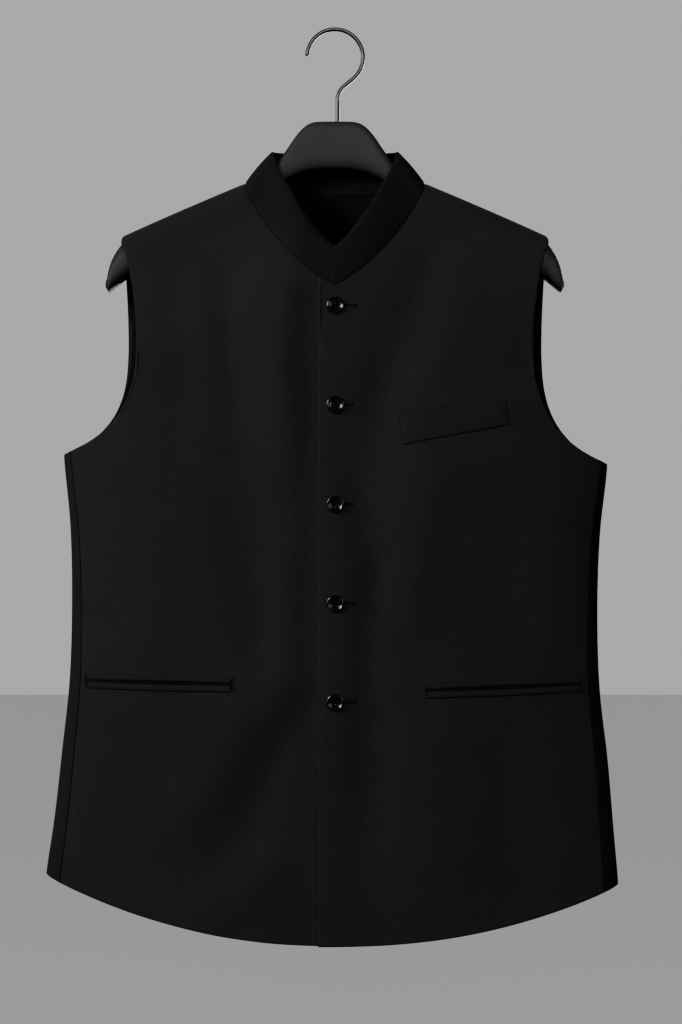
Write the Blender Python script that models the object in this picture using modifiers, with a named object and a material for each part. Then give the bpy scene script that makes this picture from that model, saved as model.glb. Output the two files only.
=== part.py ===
"""Sleeveless nehru jacket hanging, buttoned, on a contoured hanger.

Metres, +Z up, +X to the wearer's left, front towards -Y. The origin is the inner
top of the hanger's hook, where a rail carries it. The cloth is one smooth form,
cut into panels: two fronts that lap, two backs and a stand-up collar.
"""

import math

import bpy
import numpy as np
from mathutils import Vector


def table(columns, *rows):
    """A short table as named columns of numbers."""
    return dict(zip(columns.split(), np.array(rows, float).T))


# Cloth.
WALL = 0.0020
COLLAR_WALL = 0.0026
WELT_WALL = 0.0012
GAP = 0.0003

# Torso, from hem to underarm: half-widths on the wearer's right and left, and how
# far the cloth stands in front of and behind the hanger's middle plane.
BODY = table(
    "height right left front back",
    (-0.890, 0.2860, 0.2790, 0.036, 0.025),
    (-0.830, 0.2830, 0.2775, 0.037, 0.024),
    (-0.770, 0.2745, 0.2725, 0.038, 0.024),
    (-0.700, 0.2665, 0.2665, 0.040, 0.024),
    (-0.640, 0.2600, 0.2595, 0.042, 0.024),
    (-0.560, 0.2572, 0.2568, 0.045, 0.025),
    (-0.480, 0.2590, 0.2595, 0.049, 0.028),
    (-0.415, 0.2650, 0.2665, 0.051, 0.030),
    (-0.340, 0.2665, 0.2680, 0.050, 0.033),
    (-0.250, 0.2665, 0.2680, 0.046, 0.034),
    (-0.110, 0.2665, 0.2680, 0.038, 0.032),
)
SQUARE_WIDE = 2.6
SQUARE_DEEP = 1.8

# Shoulder ridge, where the cloth folds over the hanger.
RIDGE_TOP = -0.1222
RIDGE_SLOPE = 0.42
RIDGE_CURVE = 0.098
RIDGE_SOFT = 0.030
RIDGE_HALF = 0.0135
RIDGE_HALF_END = 0.0235
SHOULDER_END = 0.2078
FRONT_SETTLE = 0.130
BACK_SETTLE = 0.075
LEFT_DROP = 0.0095
LEFT_DROP_WIDE = 0.265
LEFT_DROP_TOP = -0.20
LEFT_DROP_TALL = 0.21

# Neck hole and collar.
NECK_HALF = 0.088
NECK_FRONT = 0.103
NECK_BACK = 0.008
NECK_POWER = 1.32
NECK_BACK_POWER = 2.5
COLLAR_TOP_HALF = 0.061
COLLAR_TOP_HEIGHT = -0.117
COLLAR_TOP_FRONT = 0.0975
COLLAR_TOP_POWER = 1.22
COLLAR_TOP_BACK_POWER = 2.3
COLLAR_FORE = 0.042
COLLAR_AFT = 0.0165
COLLAR_CORNER = 0.010
COLLAR_SEAM = 0.0005
COLLAR_OVER = 0.0025
COLLAR_BULGE = 0.0012

# Front opening, hem and side seam.
LAP = 0.0162
LAP_PLAY = 0.004
LAP_STEP = 0.050
COLLAR_LAP_STEP = 0.040
FRONT_HEM = -0.888
FRONT_RISE = 0.064
BACK_HEM = -0.864
BACK_RISE = 0.040
SEAM_INSET_TOP = 0.0085
SEAM_INSET_HEM = 0.0165
UNDERARM = -0.4135

# Armhole edges from the shoulder to the underarm, on the wearer's right.
ARMHOLE_FRONT = table(
    "half height",
    (0.2078, -0.2005),
    (0.2075, -0.2100),
    (0.2030, -0.2185),
    (0.1990, -0.2350),
    (0.1950, -0.2580),
    (0.1920, -0.2850),
    (0.1912, -0.3120),
    (0.1935, -0.3400),
    (0.2015, -0.3635),
    (0.2150, -0.3840),
    (0.2350, -0.4000),
    (0.2565, -0.4105),
)
ARMHOLE_BACK = table(
    "half height",
    (0.2078, -0.2005),
    (0.2082, -0.2120),
    (0.2070, -0.2350),
    (0.2055, -0.2620),
    (0.2045, -0.2900),
    (0.2045, -0.3150),
    (0.2065, -0.3410),
    (0.2125, -0.3640),
    (0.2235, -0.3835),
    (0.2400, -0.4000),
    (0.2560, -0.4095),
)

# Buttons, down the centre line.
BUTTON_TOP = -0.2726
BUTTON_STEP = 0.0949
BUTTONS = 5
BUTTON_RADIUS = 0.0085
BUTTON_SIDES = 20
BUTTON_HOLE = 0.0016
BUTTON_SHANK = 0.0006

# Pockets, as places on the fronts.
WELT_CORNERS = table(
    "across height",
    (0.0605, -0.3752),
    (0.1629, -0.3609),
    (0.1677, -0.3867),
    (0.0643, -0.4058),
)
JETS = {
    "right": dict(outer=-0.2423, inner=-0.0980, outer_height=-0.6334, inner_height=-0.6350),
    "left": dict(outer=0.2384, inner=0.0858, outer_height=-0.6368, inner_height=-0.6409),
}
JET_WIDE = 0.0075
JET_NARROW = 0.0058
JET_SLIT = 0.0012

# Hanger: outline and half thickness at stations from its middle to a tip.
HANGER = table(
    "along top bottom half",
    (0.0000, -0.0885, -0.1350, 0.0090),
    (0.0150, -0.0887, -0.1355, 0.0090),
    (0.0230, -0.0900, -0.1365, 0.0090),
    (0.0300, -0.0940, -0.1382, 0.0090),
    (0.0380, -0.1025, -0.1410, 0.0090),
    (0.0460, -0.1140, -0.1450, 0.0090),
    (0.0540, -0.1255, -0.1498, 0.0076),
    (0.0650, -0.1400, -0.1570, 0.0070),
    (0.0800, -0.1565, -0.1700, 0.0072),
    (0.1000, -0.1625, -0.1830, 0.0095),
    (0.1250, -0.1680, -0.1975, 0.0130),
    (0.1500, -0.1790, -0.2130, 0.0155),
    (0.1750, -0.1900, -0.2270, 0.0165),
    (0.1950, -0.1995, -0.2370, 0.0175),
    (0.2060, -0.2065, -0.2435, 0.0178),
    (0.2130, -0.2150, -0.2490, 0.0175),
    (0.2180, -0.2245, -0.2530, 0.0165),
    (0.2210, -0.2345, -0.2550, 0.0140),
    (0.2222, -0.2420, -0.2530, 0.0100),
)
HANGER_SIDES = 16
HOOK_RADIUS = 0.0274
WIRE = 0.0040
STEM = 0.0025
STEM_BEND = -0.068
HOOK_BEND_ANGLE = -48
SOCKET_DEPTH = 0.014

# Facets.
PANEL_ACROSS = 6
SEAM_ROWS = 14
ARMHOLE_ROWS = 16
COLLAR_FACETS = 2
COLLAR_ROWS = 4


def through(at, places, values):
    """A smooth curve through the rows of a table: a cubic between each pair."""
    slope = np.gradient(values, places)
    i = np.clip(np.searchsorted(places, at) - 1, 0, len(places) - 2)
    span = places[i + 1] - places[i]
    t = np.clip((at - places[i]) / span, 0, 1)
    start = (1 + 2 * t) * (1 - t) ** 2 * values[i] + t * (1 - t) ** 2 * span * slope[i]
    end = t**2 * (3 - 2 * t) * values[i + 1] + t**2 * (t - 1) * span * slope[i + 1]
    return start + end


def ease(t):
    """0 to 1 with no slope at either end."""
    t = np.clip(t, 0, 1)
    return t * t * (3 - 2 * t)


def unit(vectors):
    return vectors / np.linalg.norm(vectors, axis=-1, keepdims=True)


def half_width(height, left):
    right = through(height, BODY["height"], BODY["right"])
    return np.where(left, through(height, BODY["height"], BODY["left"]), right)


def ridge_height(x):
    out = np.sqrt(x**2 + RIDGE_SOFT**2) - RIDGE_SOFT
    return RIDGE_TOP - RIDGE_SLOPE * out - RIDGE_CURVE * out**2


def ridge_half(x):
    return RIDGE_HALF + (RIDGE_HALF_END - RIDGE_HALF) * ease(np.abs(x) / SHOULDER_END)


def form(around, down):
    """The cloth's outer surface.

    around is the angle from the centre front, positive to the wearer's left, and
    pi at the centre back. down is cloth length below the shoulder ridge: round a
    quarter turn over the hanger first, then straight down.
    """
    left = around > 0
    wide = np.abs(np.sin(around))
    front = np.cos(around) >= 0
    sign = np.where(left, 1.0, -1.0)
    x = sign * wide * BODY["right"][-1]
    for _ in range(6):
        radius = ridge_half(x)
        turn = np.clip(down / radius, -math.pi / 2, math.pi / 2)
        straight = np.maximum(np.abs(down) - radius * math.pi / 2, 0)
        fallen = radius * (1 - np.cos(turn)) + straight
        z = ridge_height(x) - fallen
        x = sign * wide * half_width(z, left)
    depth = np.where(
        front,
        through(z, BODY["height"], BODY["front"]),
        through(z, BODY["height"], BODY["back"]),
    )
    depth = depth * np.maximum(1 - wide**SQUARE_WIDE, 0) ** (1 / SQUARE_DEEP)
    settled = ease(fallen / np.where(front, FRONT_SETTLE, BACK_SETTLE))
    y = radius * np.sin(turn) + (depth - radius) * settled
    z = z - left_drop(x, z)
    return np.stack([x, np.where(front, -y, y), z], axis=-1)


def left_drop(x, z):
    """The wearer's left side hangs a little lower."""
    sideways = np.clip(x / LEFT_DROP_WIDE, 0, 1.1) ** 1.5
    return LEFT_DROP * sideways * ease((LEFT_DROP_TOP - z) / LEFT_DROP_TALL)


def place(x, z, back=False):
    """(around, down) of the point of a sheet at x and, before the drop, z."""
    x, z = np.broadcast_arrays(np.asarray(x, float), np.asarray(z, float))
    around = np.arcsin(np.clip(np.abs(x) / half_width(z, x > 0), 0, 1))
    around = np.pi - around if back else around
    fallen = np.maximum(ridge_height(x) - z, 0)
    radius = ridge_half(x)
    turn = np.arccos(np.clip(1 - fallen / radius, -1, 1))
    down = np.where(fallen < radius, radius * turn, radius * (math.pi / 2 - 1) + fallen)
    return np.stack([np.where(x < 0, -around, around), down], axis=-1)


def outward(around, down):
    """The form's unit normal, from central differences."""
    step_around, step_down = 1e-4, 1e-5
    side = form(around + step_around, down) - form(around - step_around, down)
    fall = form(around, down + step_down) - form(around, down - step_down)
    return unit(np.cross(fall, side))


def on_front(x, z):
    """Point and normal of the front at a final x and height z."""
    place_there = place(x, z + left_drop(x, z))
    around, down = place_there[..., 0], place_there[..., 1]
    return form(around, down), outward(around, down)


def coons(bottom, top, left, right):
    """The net whose four edges are these curves, each an array of points."""
    s = np.linspace(0, 1, len(bottom))[None, :, None]
    t = np.linspace(0, 1, len(left))[:, None, None]
    sides = (1 - s) * left[:, None] + s * right[:, None]
    ends = (1 - t) * bottom[None] + t * top[None]
    low = (1 - s) * bottom[0] + s * bottom[-1]
    high = (1 - s) * top[0] + s * top[-1]
    return sides + ends - (1 - t) * low - t * high


def evened(net, rounds=12):
    """The net with its inner points spread until no cell folds over another.

    Each inner point moves to a mean of its neighbours, weighted by how stretched
    the cells are the other way, with the net's shear taken off.
    """
    metres = np.array([half_width(UNDERARM, True), 1.0])
    net = net * metres
    for _ in range(rounds):
        across = (net[1:-1, 2:] - net[1:-1, :-2]) / 2
        up = (net[2:, 1:-1] - net[:-2, 1:-1]) / 2
        by_up = (up**2).sum(-1, keepdims=True)
        by_across = (across**2).sum(-1, keepdims=True)
        shear = (across * up).sum(-1, keepdims=True)
        corners = (net[2:, 2:] - net[2:, :-2] - net[:-2, 2:] + net[:-2, :-2]) / 4
        spread = by_up * (net[1:-1, 2:] + net[1:-1, :-2]) + by_across * (
            net[2:, 1:-1] + net[:-2, 1:-1]
        )
        net[1:-1, 1:-1] = (spread - 2 * shear * corners) / (2 * (by_up + by_across))
    return net / metres


def graded(count):
    """count shares from 0 to 1 that crowd towards 1, for the shoulder's tight fold."""
    return 1 - (1 - np.linspace(0, 1, count)) ** 1.6


def resampled(points, shares):
    """Points at these shares of the length of a smooth curve through the points."""
    index = np.arange(len(points), dtype=float)
    fine = np.linspace(0, len(points) - 1, 40 * len(points))
    dense = np.stack([through(fine, index, column) for column in points.T], axis=1)
    length = np.concatenate([[0], np.cumsum(np.linalg.norm(np.diff(dense, axis=0), axis=1))])
    return np.stack([np.interp(shares * length[-1], length, column) for column in dense.T], axis=1)


def neckline(turn, back=False):
    """x and z of the neck hole's edge: turn is 0 at the centre, pi/2 at the ridge."""
    power = NECK_BACK_POWER if back else NECK_POWER
    x = NECK_HALF * np.sign(turn) * np.abs(np.sin(turn)) ** (2 / power)
    fall = (NECK_BACK if back else NECK_FRONT) * np.abs(np.cos(turn)) ** (2 / power)
    return x, ridge_height(NECK_HALF) - fall


def seam_half(z, left):
    """Distance of the side seam, on the front, from the centre."""
    t = (z - FRONT_HEM) / (UNDERARM - FRONT_HEM)
    inset = SEAM_INSET_HEM + (SEAM_INSET_TOP - SEAM_INSET_HEM) * np.clip(t, 0, 1)
    return half_width(z, left) - inset


def hem_height(wide, back=False):
    if back:
        return BACK_HEM + BACK_RISE * wide**2
    return FRONT_HEM + FRONT_RISE * wide**2


def seam_hem_height():
    """The hem's height where the side seam ends, found by repetition."""
    z = FRONT_HEM + FRONT_RISE
    for _ in range(8):
        z = hem_height(seam_half(z, False) / half_width(z, False))
    return float(z)


def front_net(side, edge):
    """Places of a front's grid: side is -1 or 1, edge its opening edge's x."""
    left = side > 0
    hem_side = seam_hem_height()
    turns = np.linspace(turn_at(edge * side), math.pi / 2, PANEL_ACROSS + 1)
    neck_x, neck_z = neckline(turns)
    shoulder = np.linspace(NECK_HALF, SHOULDER_END, PANEL_ACROSS + 1)[1:]
    top = np.concatenate([
        place(side * neck_x, neck_z),
        place(side * shoulder, ridge_height(shoulder)),
    ])
    across = np.linspace(edge * side, seam_half(hem_side, left), len(top))
    wide = across / half_width(hem_side, left)
    bottom = place(side * across, hem_height(wide))
    seam_z = np.linspace(hem_side, ARMHOLE_FRONT["height"][-1], SEAM_ROWS + 1)
    seam = place(side * (seam_half(seam_z, left) - GAP / 4), seam_z)
    edge_points = np.stack([ARMHOLE_FRONT["half"], ARMHOLE_FRONT["height"]], axis=1)[::-1]
    curve = resampled(edge_points, graded(ARMHOLE_ROWS + 1))[1:]
    outer = np.concatenate([seam, place(side * curve[:, 0], curve[:, 1])])
    centre_z = np.concatenate([
        np.linspace(float(bottom_height(edge, hem_side, left)), UNDERARM, SEAM_ROWS + 1),
        UNDERARM + (neck_z[0] - UNDERARM) * graded(ARMHOLE_ROWS + 1)[1:],
    ])
    inner = place(edge, centre_z)
    top[:, 1] = np.maximum(top[:, 1], GAP / 2)
    outer[-1] = top[-1]
    return evened(coons(bottom, top, inner, outer))


def bottom_height(x, hem_side, left):
    return hem_height(np.abs(x) / half_width(hem_side, left))


def back_net(side):
    """Places of a back's grid, from the centre back seam round to the side seam."""
    left = side > 0
    hem_side = seam_hem_height()
    turns = np.linspace(0, math.pi / 2, PANEL_ACROSS + 1)
    neck_x, neck_z = neckline(turns, back=True)
    neck_x = np.maximum(neck_x, GAP / 2)
    shoulder = np.linspace(NECK_HALF, SHOULDER_END, PANEL_ACROSS + 1)[1:]
    top = np.concatenate([
        place(side * neck_x, neck_z, back=True),
        place(side * shoulder, ridge_height(shoulder), back=True),
    ])
    seam_z = np.linspace(hem_side, ARMHOLE_FRONT["height"][-1], SEAM_ROWS + 1)
    seam = place(side * (seam_half(seam_z, left) + GAP / 4), seam_z)
    seam_top = seam[-1]
    edge_points = np.stack([ARMHOLE_BACK["half"], ARMHOLE_BACK["height"]], axis=1)[::-1]
    behind = place(side * edge_points[:, 0], edge_points[:, 1], back=True)
    fold = place(side * half_width(UNDERARM, left), UNDERARM)
    fold[0] = side * math.pi / 2
    curve = np.concatenate([seam_top[None], fold[None], behind])
    metres = np.array([half_width(UNDERARM, left), 1.0])
    curve = resampled(curve * metres, graded(ARMHOLE_ROWS + 1))[1:] / metres
    outer = np.concatenate([seam, curve])
    angles = np.linspace(side * (math.pi - 1e-3), seam[0, 0], len(top))
    wide = np.abs(np.sin(angles))
    hem = np.where(np.cos(angles) < 0, hem_height(wide, True), hem_height(wide))
    bottom = place(side * wide * half_width(hem, left), hem)
    bottom[:, 0] = angles
    centre_z = np.concatenate([
        np.linspace(float(hem[0]), UNDERARM, SEAM_ROWS + 1),
        UNDERARM + (neck_z[0] - UNDERARM) * graded(ARMHOLE_ROWS + 1)[1:],
    ])
    inner = place(side * GAP / 2, centre_z, back=True)
    bottom[0] = inner[0]
    bottom[-1] = seam[0]
    top[:, 1] = np.maximum(top[:, 1], GAP / 2)
    outer[-1] = top[-1]
    return evened(coons(bottom, top, inner, outer))


def wall_mesh(name, outer, inner):
    """One closed wall between two nets of points, outer first."""
    rows, columns = outer.shape[:2]
    points = np.concatenate([outer.reshape(-1, 3), inner.reshape(-1, 3)])
    index = np.arange(rows * columns).reshape(rows, columns)
    quads = np.stack(
        [index[:-1, :-1], index[:-1, 1:], index[1:, 1:], index[1:, :-1]], axis=-1
    ).reshape(-1, 4)
    rim = np.concatenate([index[0, :], index[1:, -1], index[-1, -2::-1], index[-2:0:-1, 0]])
    after = np.roll(rim, -1)
    inside = rows * columns
    sides = np.stack([rim, rim + inside, after + inside, after], axis=-1)
    faces = np.concatenate([quads, quads[:, ::-1] + inside, sides])
    mesh = bpy.data.meshes.new(name)
    mesh.from_pydata(points.tolist(), [], faces.tolist())
    mesh.update()
    mesh.shade_smooth()
    mesh.set_sharp_from_angle(angle=math.radians(50))
    return mesh


def facing_out(outer, inner):
    """The two nets turned so that the first one's faces point away from the second."""
    middle = (outer.shape[0] // 2, outer.shape[1] // 2)
    up = outer[middle[0] + 1, middle[1]] - outer[middle]
    side = outer[middle[0], middle[1] + 1] - outer[middle]
    if np.dot(np.cross(side, up), outer[middle] - inner[middle]) < 0:
        return outer[:, ::-1], inner[:, ::-1]
    return outer, inner


def material(name, colour, roughness, metallic=0.0):
    made = bpy.data.materials.new(name)
    made.use_nodes = True
    shader = made.node_tree.nodes["Principled BSDF"]
    shader.inputs["Base Color"].default_value = (*colour, 1)
    shader.inputs["Roughness"].default_value = roughness
    shader.inputs["Metallic"].default_value = metallic
    return made


def add(name, mesh, finish, collection):
    made = bpy.data.objects.new(name, mesh)
    mesh.materials.clear()
    mesh.materials.append(finish)
    collection.objects.link(made)
    return made


def add_wall(name, outer, inner, finish, collection):
    return add(name, wall_mesh(name, *facing_out(outer, inner)), finish, collection)


def add_fronts(cloth, collection):
    """The left front laps over the right one, which steps back to make room."""
    for name, side, edge in (("front_left", 1, -LAP), ("front_right", -1, LAP)):
        net = front_net(side, edge)
        points = form(net[..., 0], net[..., 1])
        normals = outward(net[..., 0], net[..., 1])
        if side < 0:
            step = 1 - ease((-points[..., :1] - LAP - LAP_PLAY) / LAP_STEP)
            points = points - normals * step * (WALL + GAP)
        add_wall(name, points, points - normals * WALL, cloth, collection)


def add_backs(cloth, collection):
    for name, side in (("back_left", 1), ("back_right", -1)):
        net = back_net(side)
        points = form(net[..., 0], net[..., 1])
        normals = outward(net[..., 0], net[..., 1])
        add_wall(name, points, points - normals * WALL, cloth, collection)


def collar_rings(turns):
    """Foot and top edge of the collar, and the panels' normals at the foot.

    A turn runs from -pi to pi, 0 at the centre front and positive to the wearer's
    left, with the shoulder ridge at half pi.
    """
    behind = np.abs(turns) > math.pi / 2
    quarter = np.where(behind, np.sign(turns) * (math.pi - np.abs(turns)), turns)
    front_x, front_z = neckline(quarter)
    back_x, back_z = neckline(quarter, back=True)
    places = np.where(
        behind[:, None], place(back_x, back_z, back=True), place(front_x, front_z)
    )
    places[:, 1] = np.maximum(places[:, 1], GAP / 2)
    foot = form(places[:, 0], places[:, 1])
    normals = outward(places[:, 0], places[:, 1])
    power = np.where(behind, COLLAR_TOP_BACK_POWER, COLLAR_TOP_POWER)
    sine, cosine = np.abs(np.sin(quarter)), np.abs(np.cos(quarter))
    x = COLLAR_TOP_HALF * np.sign(quarter) * sine ** (2 / power)
    z = COLLAR_TOP_HEIGHT - np.where(behind, 0, COLLAR_TOP_FRONT * cosine ** (2 / power))
    y = np.where(behind, COLLAR_AFT, -COLLAR_FORE) * cosine ** np.where(behind, 0.8, 1.0)
    return foot, np.stack([x, y, z], axis=-1), normals


def turn_at(x):
    """The neckline's turn at a small x near the centre front."""
    return math.copysign(math.asin((abs(x) / NECK_HALF) ** (NECK_POWER / 2)), x)


def within_turn(path):
    """Turns past the centre back as turns on the wearer's left."""
    return np.where(path < -math.pi, path + 2 * math.pi, path)


def add_collar(cloth, collection):
    """One band, from its under end round the back to the over end that laps it."""
    # The foot's corners fall on the panels' own corners, so straight facets meet.
    right = np.linspace(turn_at(LAP), -math.pi / 2, PANEL_ACROSS + 1)
    behind = np.linspace(-math.pi / 2, -1.5 * math.pi, 2 * PANEL_ACROSS + 1)[1:]
    left = np.linspace(-1.5 * math.pi, turn_at(-LAP) - 2 * math.pi, PANEL_ACROSS + 1)[1:]
    corners = np.concatenate([right, behind, left])
    order = np.arange(len(corners), dtype=float)
    columns = COLLAR_FACETS * len(corners[1:]) + 1
    path = np.interp(np.linspace(0, order[-1], columns), order, corners)
    end = turn_at(-COLLAR_OVER) - 2 * math.pi
    path = np.append(path[path > end], end)
    at_corners, _, corner_normals = collar_rings(within_turn(corners))
    _, top, _ = collar_rings(within_turn(path))
    foot = np.stack([np.interp(-path, -corners, column) for column in at_corners.T], axis=1)
    panel_normals = unit(
        np.stack([np.interp(-path, -corners, column) for column in corner_normals.T], axis=1)
    )
    height = np.linalg.norm(top - foot, axis=1)
    foot = foot + (top - foot) * (COLLAR_SEAM / height)[:, None]
    past_end = np.clip(foot[:, 0] + COLLAR_OVER, 0, COLLAR_CORNER)
    corner = COLLAR_CORNER - np.sqrt(COLLAR_CORNER**2 - (COLLAR_CORNER - past_end) ** 2)
    over = path < -1.5 * math.pi
    reach = np.where(over, 1 - corner / height, 1.0)
    share = np.linspace(0, 1, COLLAR_ROWS + 1)[:, None, None] * reach[None, :, None]
    band = foot + (top - foot) * share
    own = unit(np.cross(np.gradient(band, axis=0), np.gradient(band, axis=1)))
    normals = unit(own * ease(share * 4) + panel_normals * (1 - ease(share * 4)))
    band = band + normals * COLLAR_BULGE * 4 * share * (1 - share)
    step = 1 - ease((-foot[:, 0] - LAP - LAP_PLAY) / COLLAR_LAP_STEP)
    under = np.where(path > -math.pi / 2, step, 0)
    band = band - normals * under[None, :, None] * (COLLAR_WALL + GAP)
    add_wall("collar", band, band - normals * COLLAR_WALL, cloth, collection)


def add_patch(name, x, z, thick, cloth, collection):
    """A patch lying on a front: nets of final x and z, moved out from the front."""
    points, normals = on_front(x, z)
    lifted = points + normals * GAP
    add_wall(name, lifted + normals * thick, lifted, cloth, collection)


def add_welt(cloth, collection):
    s = np.linspace(0, 1, 9)[None, :]
    t = np.linspace(0, 1, 4)[:, None]
    weights = ((1 - s) * (1 - t), s * (1 - t), s * t, (1 - s) * t)
    x = sum(w * c for w, c in zip(weights, WELT_CORNERS["across"]))
    z = sum(w * c for w, c in zip(weights, WELT_CORNERS["height"]))
    add_patch("breast_welt", x, z, WELT_WALL, cloth, collection)


def add_jets(cloth, collection):
    """Two lips a side, with a slit between them."""
    s = np.linspace(0, 1, 13)[None, :]
    t = np.linspace(0, 1, 3)[:, None]
    for side, row in JETS.items():
        x = row["outer"] + (row["inner"] - row["outer"]) * s + 0 * t
        slit = row["outer_height"] + (row["inner_height"] - row["outer_height"]) * s
        bow = np.sqrt(np.sin(math.pi * (0.15 + 0.8 * (1 - s))))
        depth = JET_NARROW + (JET_WIDE - JET_NARROW) * bow
        for lip, way in (("upper", 1), ("lower", -1)):
            z = slit + way * (JET_SLIT / 2 + depth * t)
            add_patch(f"jet_{side}_{lip}", x, z, WELT_WALL, cloth, collection)


def add_buttons(plastic, collection, cutters):
    """A turned disc with a raised rim and a dished middle, bored with four holes."""
    outline = ((0, 0.0020), (0.50, 0.0020), (0.66, 0.0024), (0.78, 0.0032), (0.92, 0.0030),
               (1.0, 0.0020), (0.94, 0.0004), (0.70, 0.0), (0, 0.0))
    mesh = bpy.data.meshes.new("button_outline")
    points = [(r * BUTTON_RADIUS, 0, h) for r, h in outline]
    mesh.from_pydata(points, [(i, i + 1) for i in range(len(points) - 1)], [])
    turned = bpy.data.objects.new("button_turned", mesh)
    cutters.objects.link(turned)
    screw = turned.modifiers.new("turn", "SCREW")
    screw.steps = screw.render_steps = BUTTON_SIDES
    screw.use_merge_vertices = True
    screw.merge_threshold = 0.00001
    for dx in (-1, 1):
        for dy in (-1, 1):
            bpy.ops.mesh.primitive_cylinder_add(vertices=8, radius=BUTTON_HOLE / 2, depth=0.01)
            bore = bpy.context.object
            bore.name = f"bore_{dx}_{dy}"
            bore.location = (dx * BUTTON_HOLE, dy * BUTTON_HOLE, 0)
            for home in bore.users_collection:
                home.objects.unlink(bore)
            cutters.objects.link(bore)
            bore.display_type = "WIRE"
            bore.hide_render = True
            cut = turned.modifiers.new(bore.name, "BOOLEAN")
            cut.operation = "DIFFERENCE"
            cut.object = bore
    bpy.context.view_layer.update()
    graph = bpy.context.evaluated_depsgraph_get()
    bored = bpy.data.meshes.new_from_object(turned.evaluated_get(graph))
    bored.name = "button"
    turned.hide_render = True
    turned.display_type = "WIRE"
    for number in range(BUTTONS):
        point, normal = on_front(np.array(0.0005), np.array(BUTTON_TOP - number * BUTTON_STEP))
        button = add(f"button_{number + 1}", bored, plastic, collection)
        button.location = point + normal * BUTTON_SHANK
        button.rotation_euler = Vector(normal).to_track_quat("Z", "Y").to_euler()


def add_hanger(plastic, collection, cutters):
    """Rounded sections, flatter below, at the stations of one arm and its mirror."""
    half = np.stack([HANGER[name] for name in ("along", "top", "bottom", "half")], axis=1)
    mirrored = half[:0:-1] * (-1, 1, 1, 1)
    stations = np.concatenate([mirrored, half])
    angle = np.linspace(0, 2 * math.pi, HANGER_SIDES, endpoint=False) + math.pi / HANGER_SIDES
    sine, cosine = np.sin(angle), np.cos(angle)
    squareness = np.where(sine > 0, 1.0, 0.55)
    across = np.sign(cosine) * np.abs(cosine) ** np.where(sine > 0, 1.0, 0.6)
    up = np.sign(sine) * np.abs(sine) ** squareness
    x, top, bottom, thick = stations.T[:, :, None]
    middle, tall = (top + bottom) / 2, (top - bottom) / 2
    rings = np.stack([x + 0 * across, thick * across, middle + tall * up], axis=-1)
    count, sides = rings.shape[:2]
    index = np.arange(count * sides).reshape(count, sides)
    after = np.roll(index, -1, axis=1)
    skin = np.stack([index[:-1], index[1:], after[1:], after[:-1]], axis=-1).reshape(-1, 4)
    faces = skin.tolist() + [index[0].tolist(), index[-1][::-1].tolist()]
    mesh = bpy.data.meshes.new("hanger")
    mesh.from_pydata(rings.reshape(-1, 3).tolist(), [], faces)
    mesh.update()
    hanger = add("hanger", mesh, plastic, collection)
    mesh.shade_smooth()
    bpy.ops.mesh.primitive_cylinder_add(vertices=16, radius=WIRE / 2 + GAP, depth=2 * SOCKET_DEPTH)
    socket = bpy.context.object
    socket.name = "hook_socket"
    socket.location = (STEM, 0, HANGER["top"][0])
    for home in socket.users_collection:
        home.objects.unlink(socket)
    cutters.objects.link(socket)
    socket.display_type = "WIRE"
    socket.hide_render = True
    cut = hanger.modifiers.new("socket", "BOOLEAN")
    cut.operation = "DIFFERENCE"
    cut.object = socket


def hook_route():
    """Open loop from the free end over the top, then a reverse bend to the stem."""
    centre = -(HOOK_RADIUS - WIRE / 2)
    angle = np.radians(np.linspace(174, HOOK_BEND_ANGLE, 26))
    loop = np.stack([HOOK_RADIUS * np.cos(angle), centre + HOOK_RADIUS * np.sin(angle)], axis=1)
    foot = HANGER["top"][0] - SOCKET_DEPTH + GAP
    start = loop[-1]
    way = np.array([math.sin(angle[-1]), -math.cos(angle[-1])])
    t = np.linspace(0, 1, 9)[1:, None]
    bend_foot = np.array([STEM, STEM_BEND])
    pull = 0.012
    a, b, c, d = start, start + way * pull, bend_foot + (0, pull), bend_foot
    bend = (1 - t) ** 3 * a + 3 * t * (1 - t) ** 2 * b + 3 * t * t * (1 - t) * c + t**3 * d
    stem = np.array([[STEM, (STEM_BEND + foot) / 2], [STEM, foot]])
    return np.concatenate([loop, bend, stem])


def add_hook(wire, collection):
    route = hook_route()
    curve = bpy.data.curves.new("hook", "CURVE")
    curve.dimensions = "3D"
    curve.bevel_depth = WIRE / 2
    curve.bevel_resolution = 2
    curve.use_fill_caps = True
    spline = curve.splines.new("POLY")
    spline.points.add(len(route) - 1)
    for point, (x, z) in zip(spline.points, route):
        point.co = (x, 0, z, 1)
    hook = bpy.data.objects.new("hook", curve)
    curve.materials.append(wire)
    collection.objects.link(hook)


def clear_scene():
    for item in list(bpy.data.objects):
        bpy.data.objects.remove(item)


def main():
    clear_scene()
    parts = bpy.data.collections.new("nehru_jacket")
    cutters = bpy.data.collections.new("cutters")
    for group in (parts, cutters):
        bpy.context.scene.collection.children.link(group)
    wool = material("black_wool", (0.010, 0.010, 0.010), 0.85)
    black = material("button_black", (0.008, 0.008, 0.009), 0.20)
    grey = material("hanger_grey", (0.035, 0.036, 0.042), 0.50)
    wire = material("hook_black", (0.012, 0.012, 0.013), 0.35, 0.8)
    add_fronts(wool, parts)
    add_backs(wool, parts)
    add_collar(wool, parts)
    add_welt(wool, parts)
    add_jets(wool, parts)
    add_buttons(black, parts, cutters)
    add_hanger(grey, parts, cutters)
    add_hook(wire, parts)


main()
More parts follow.
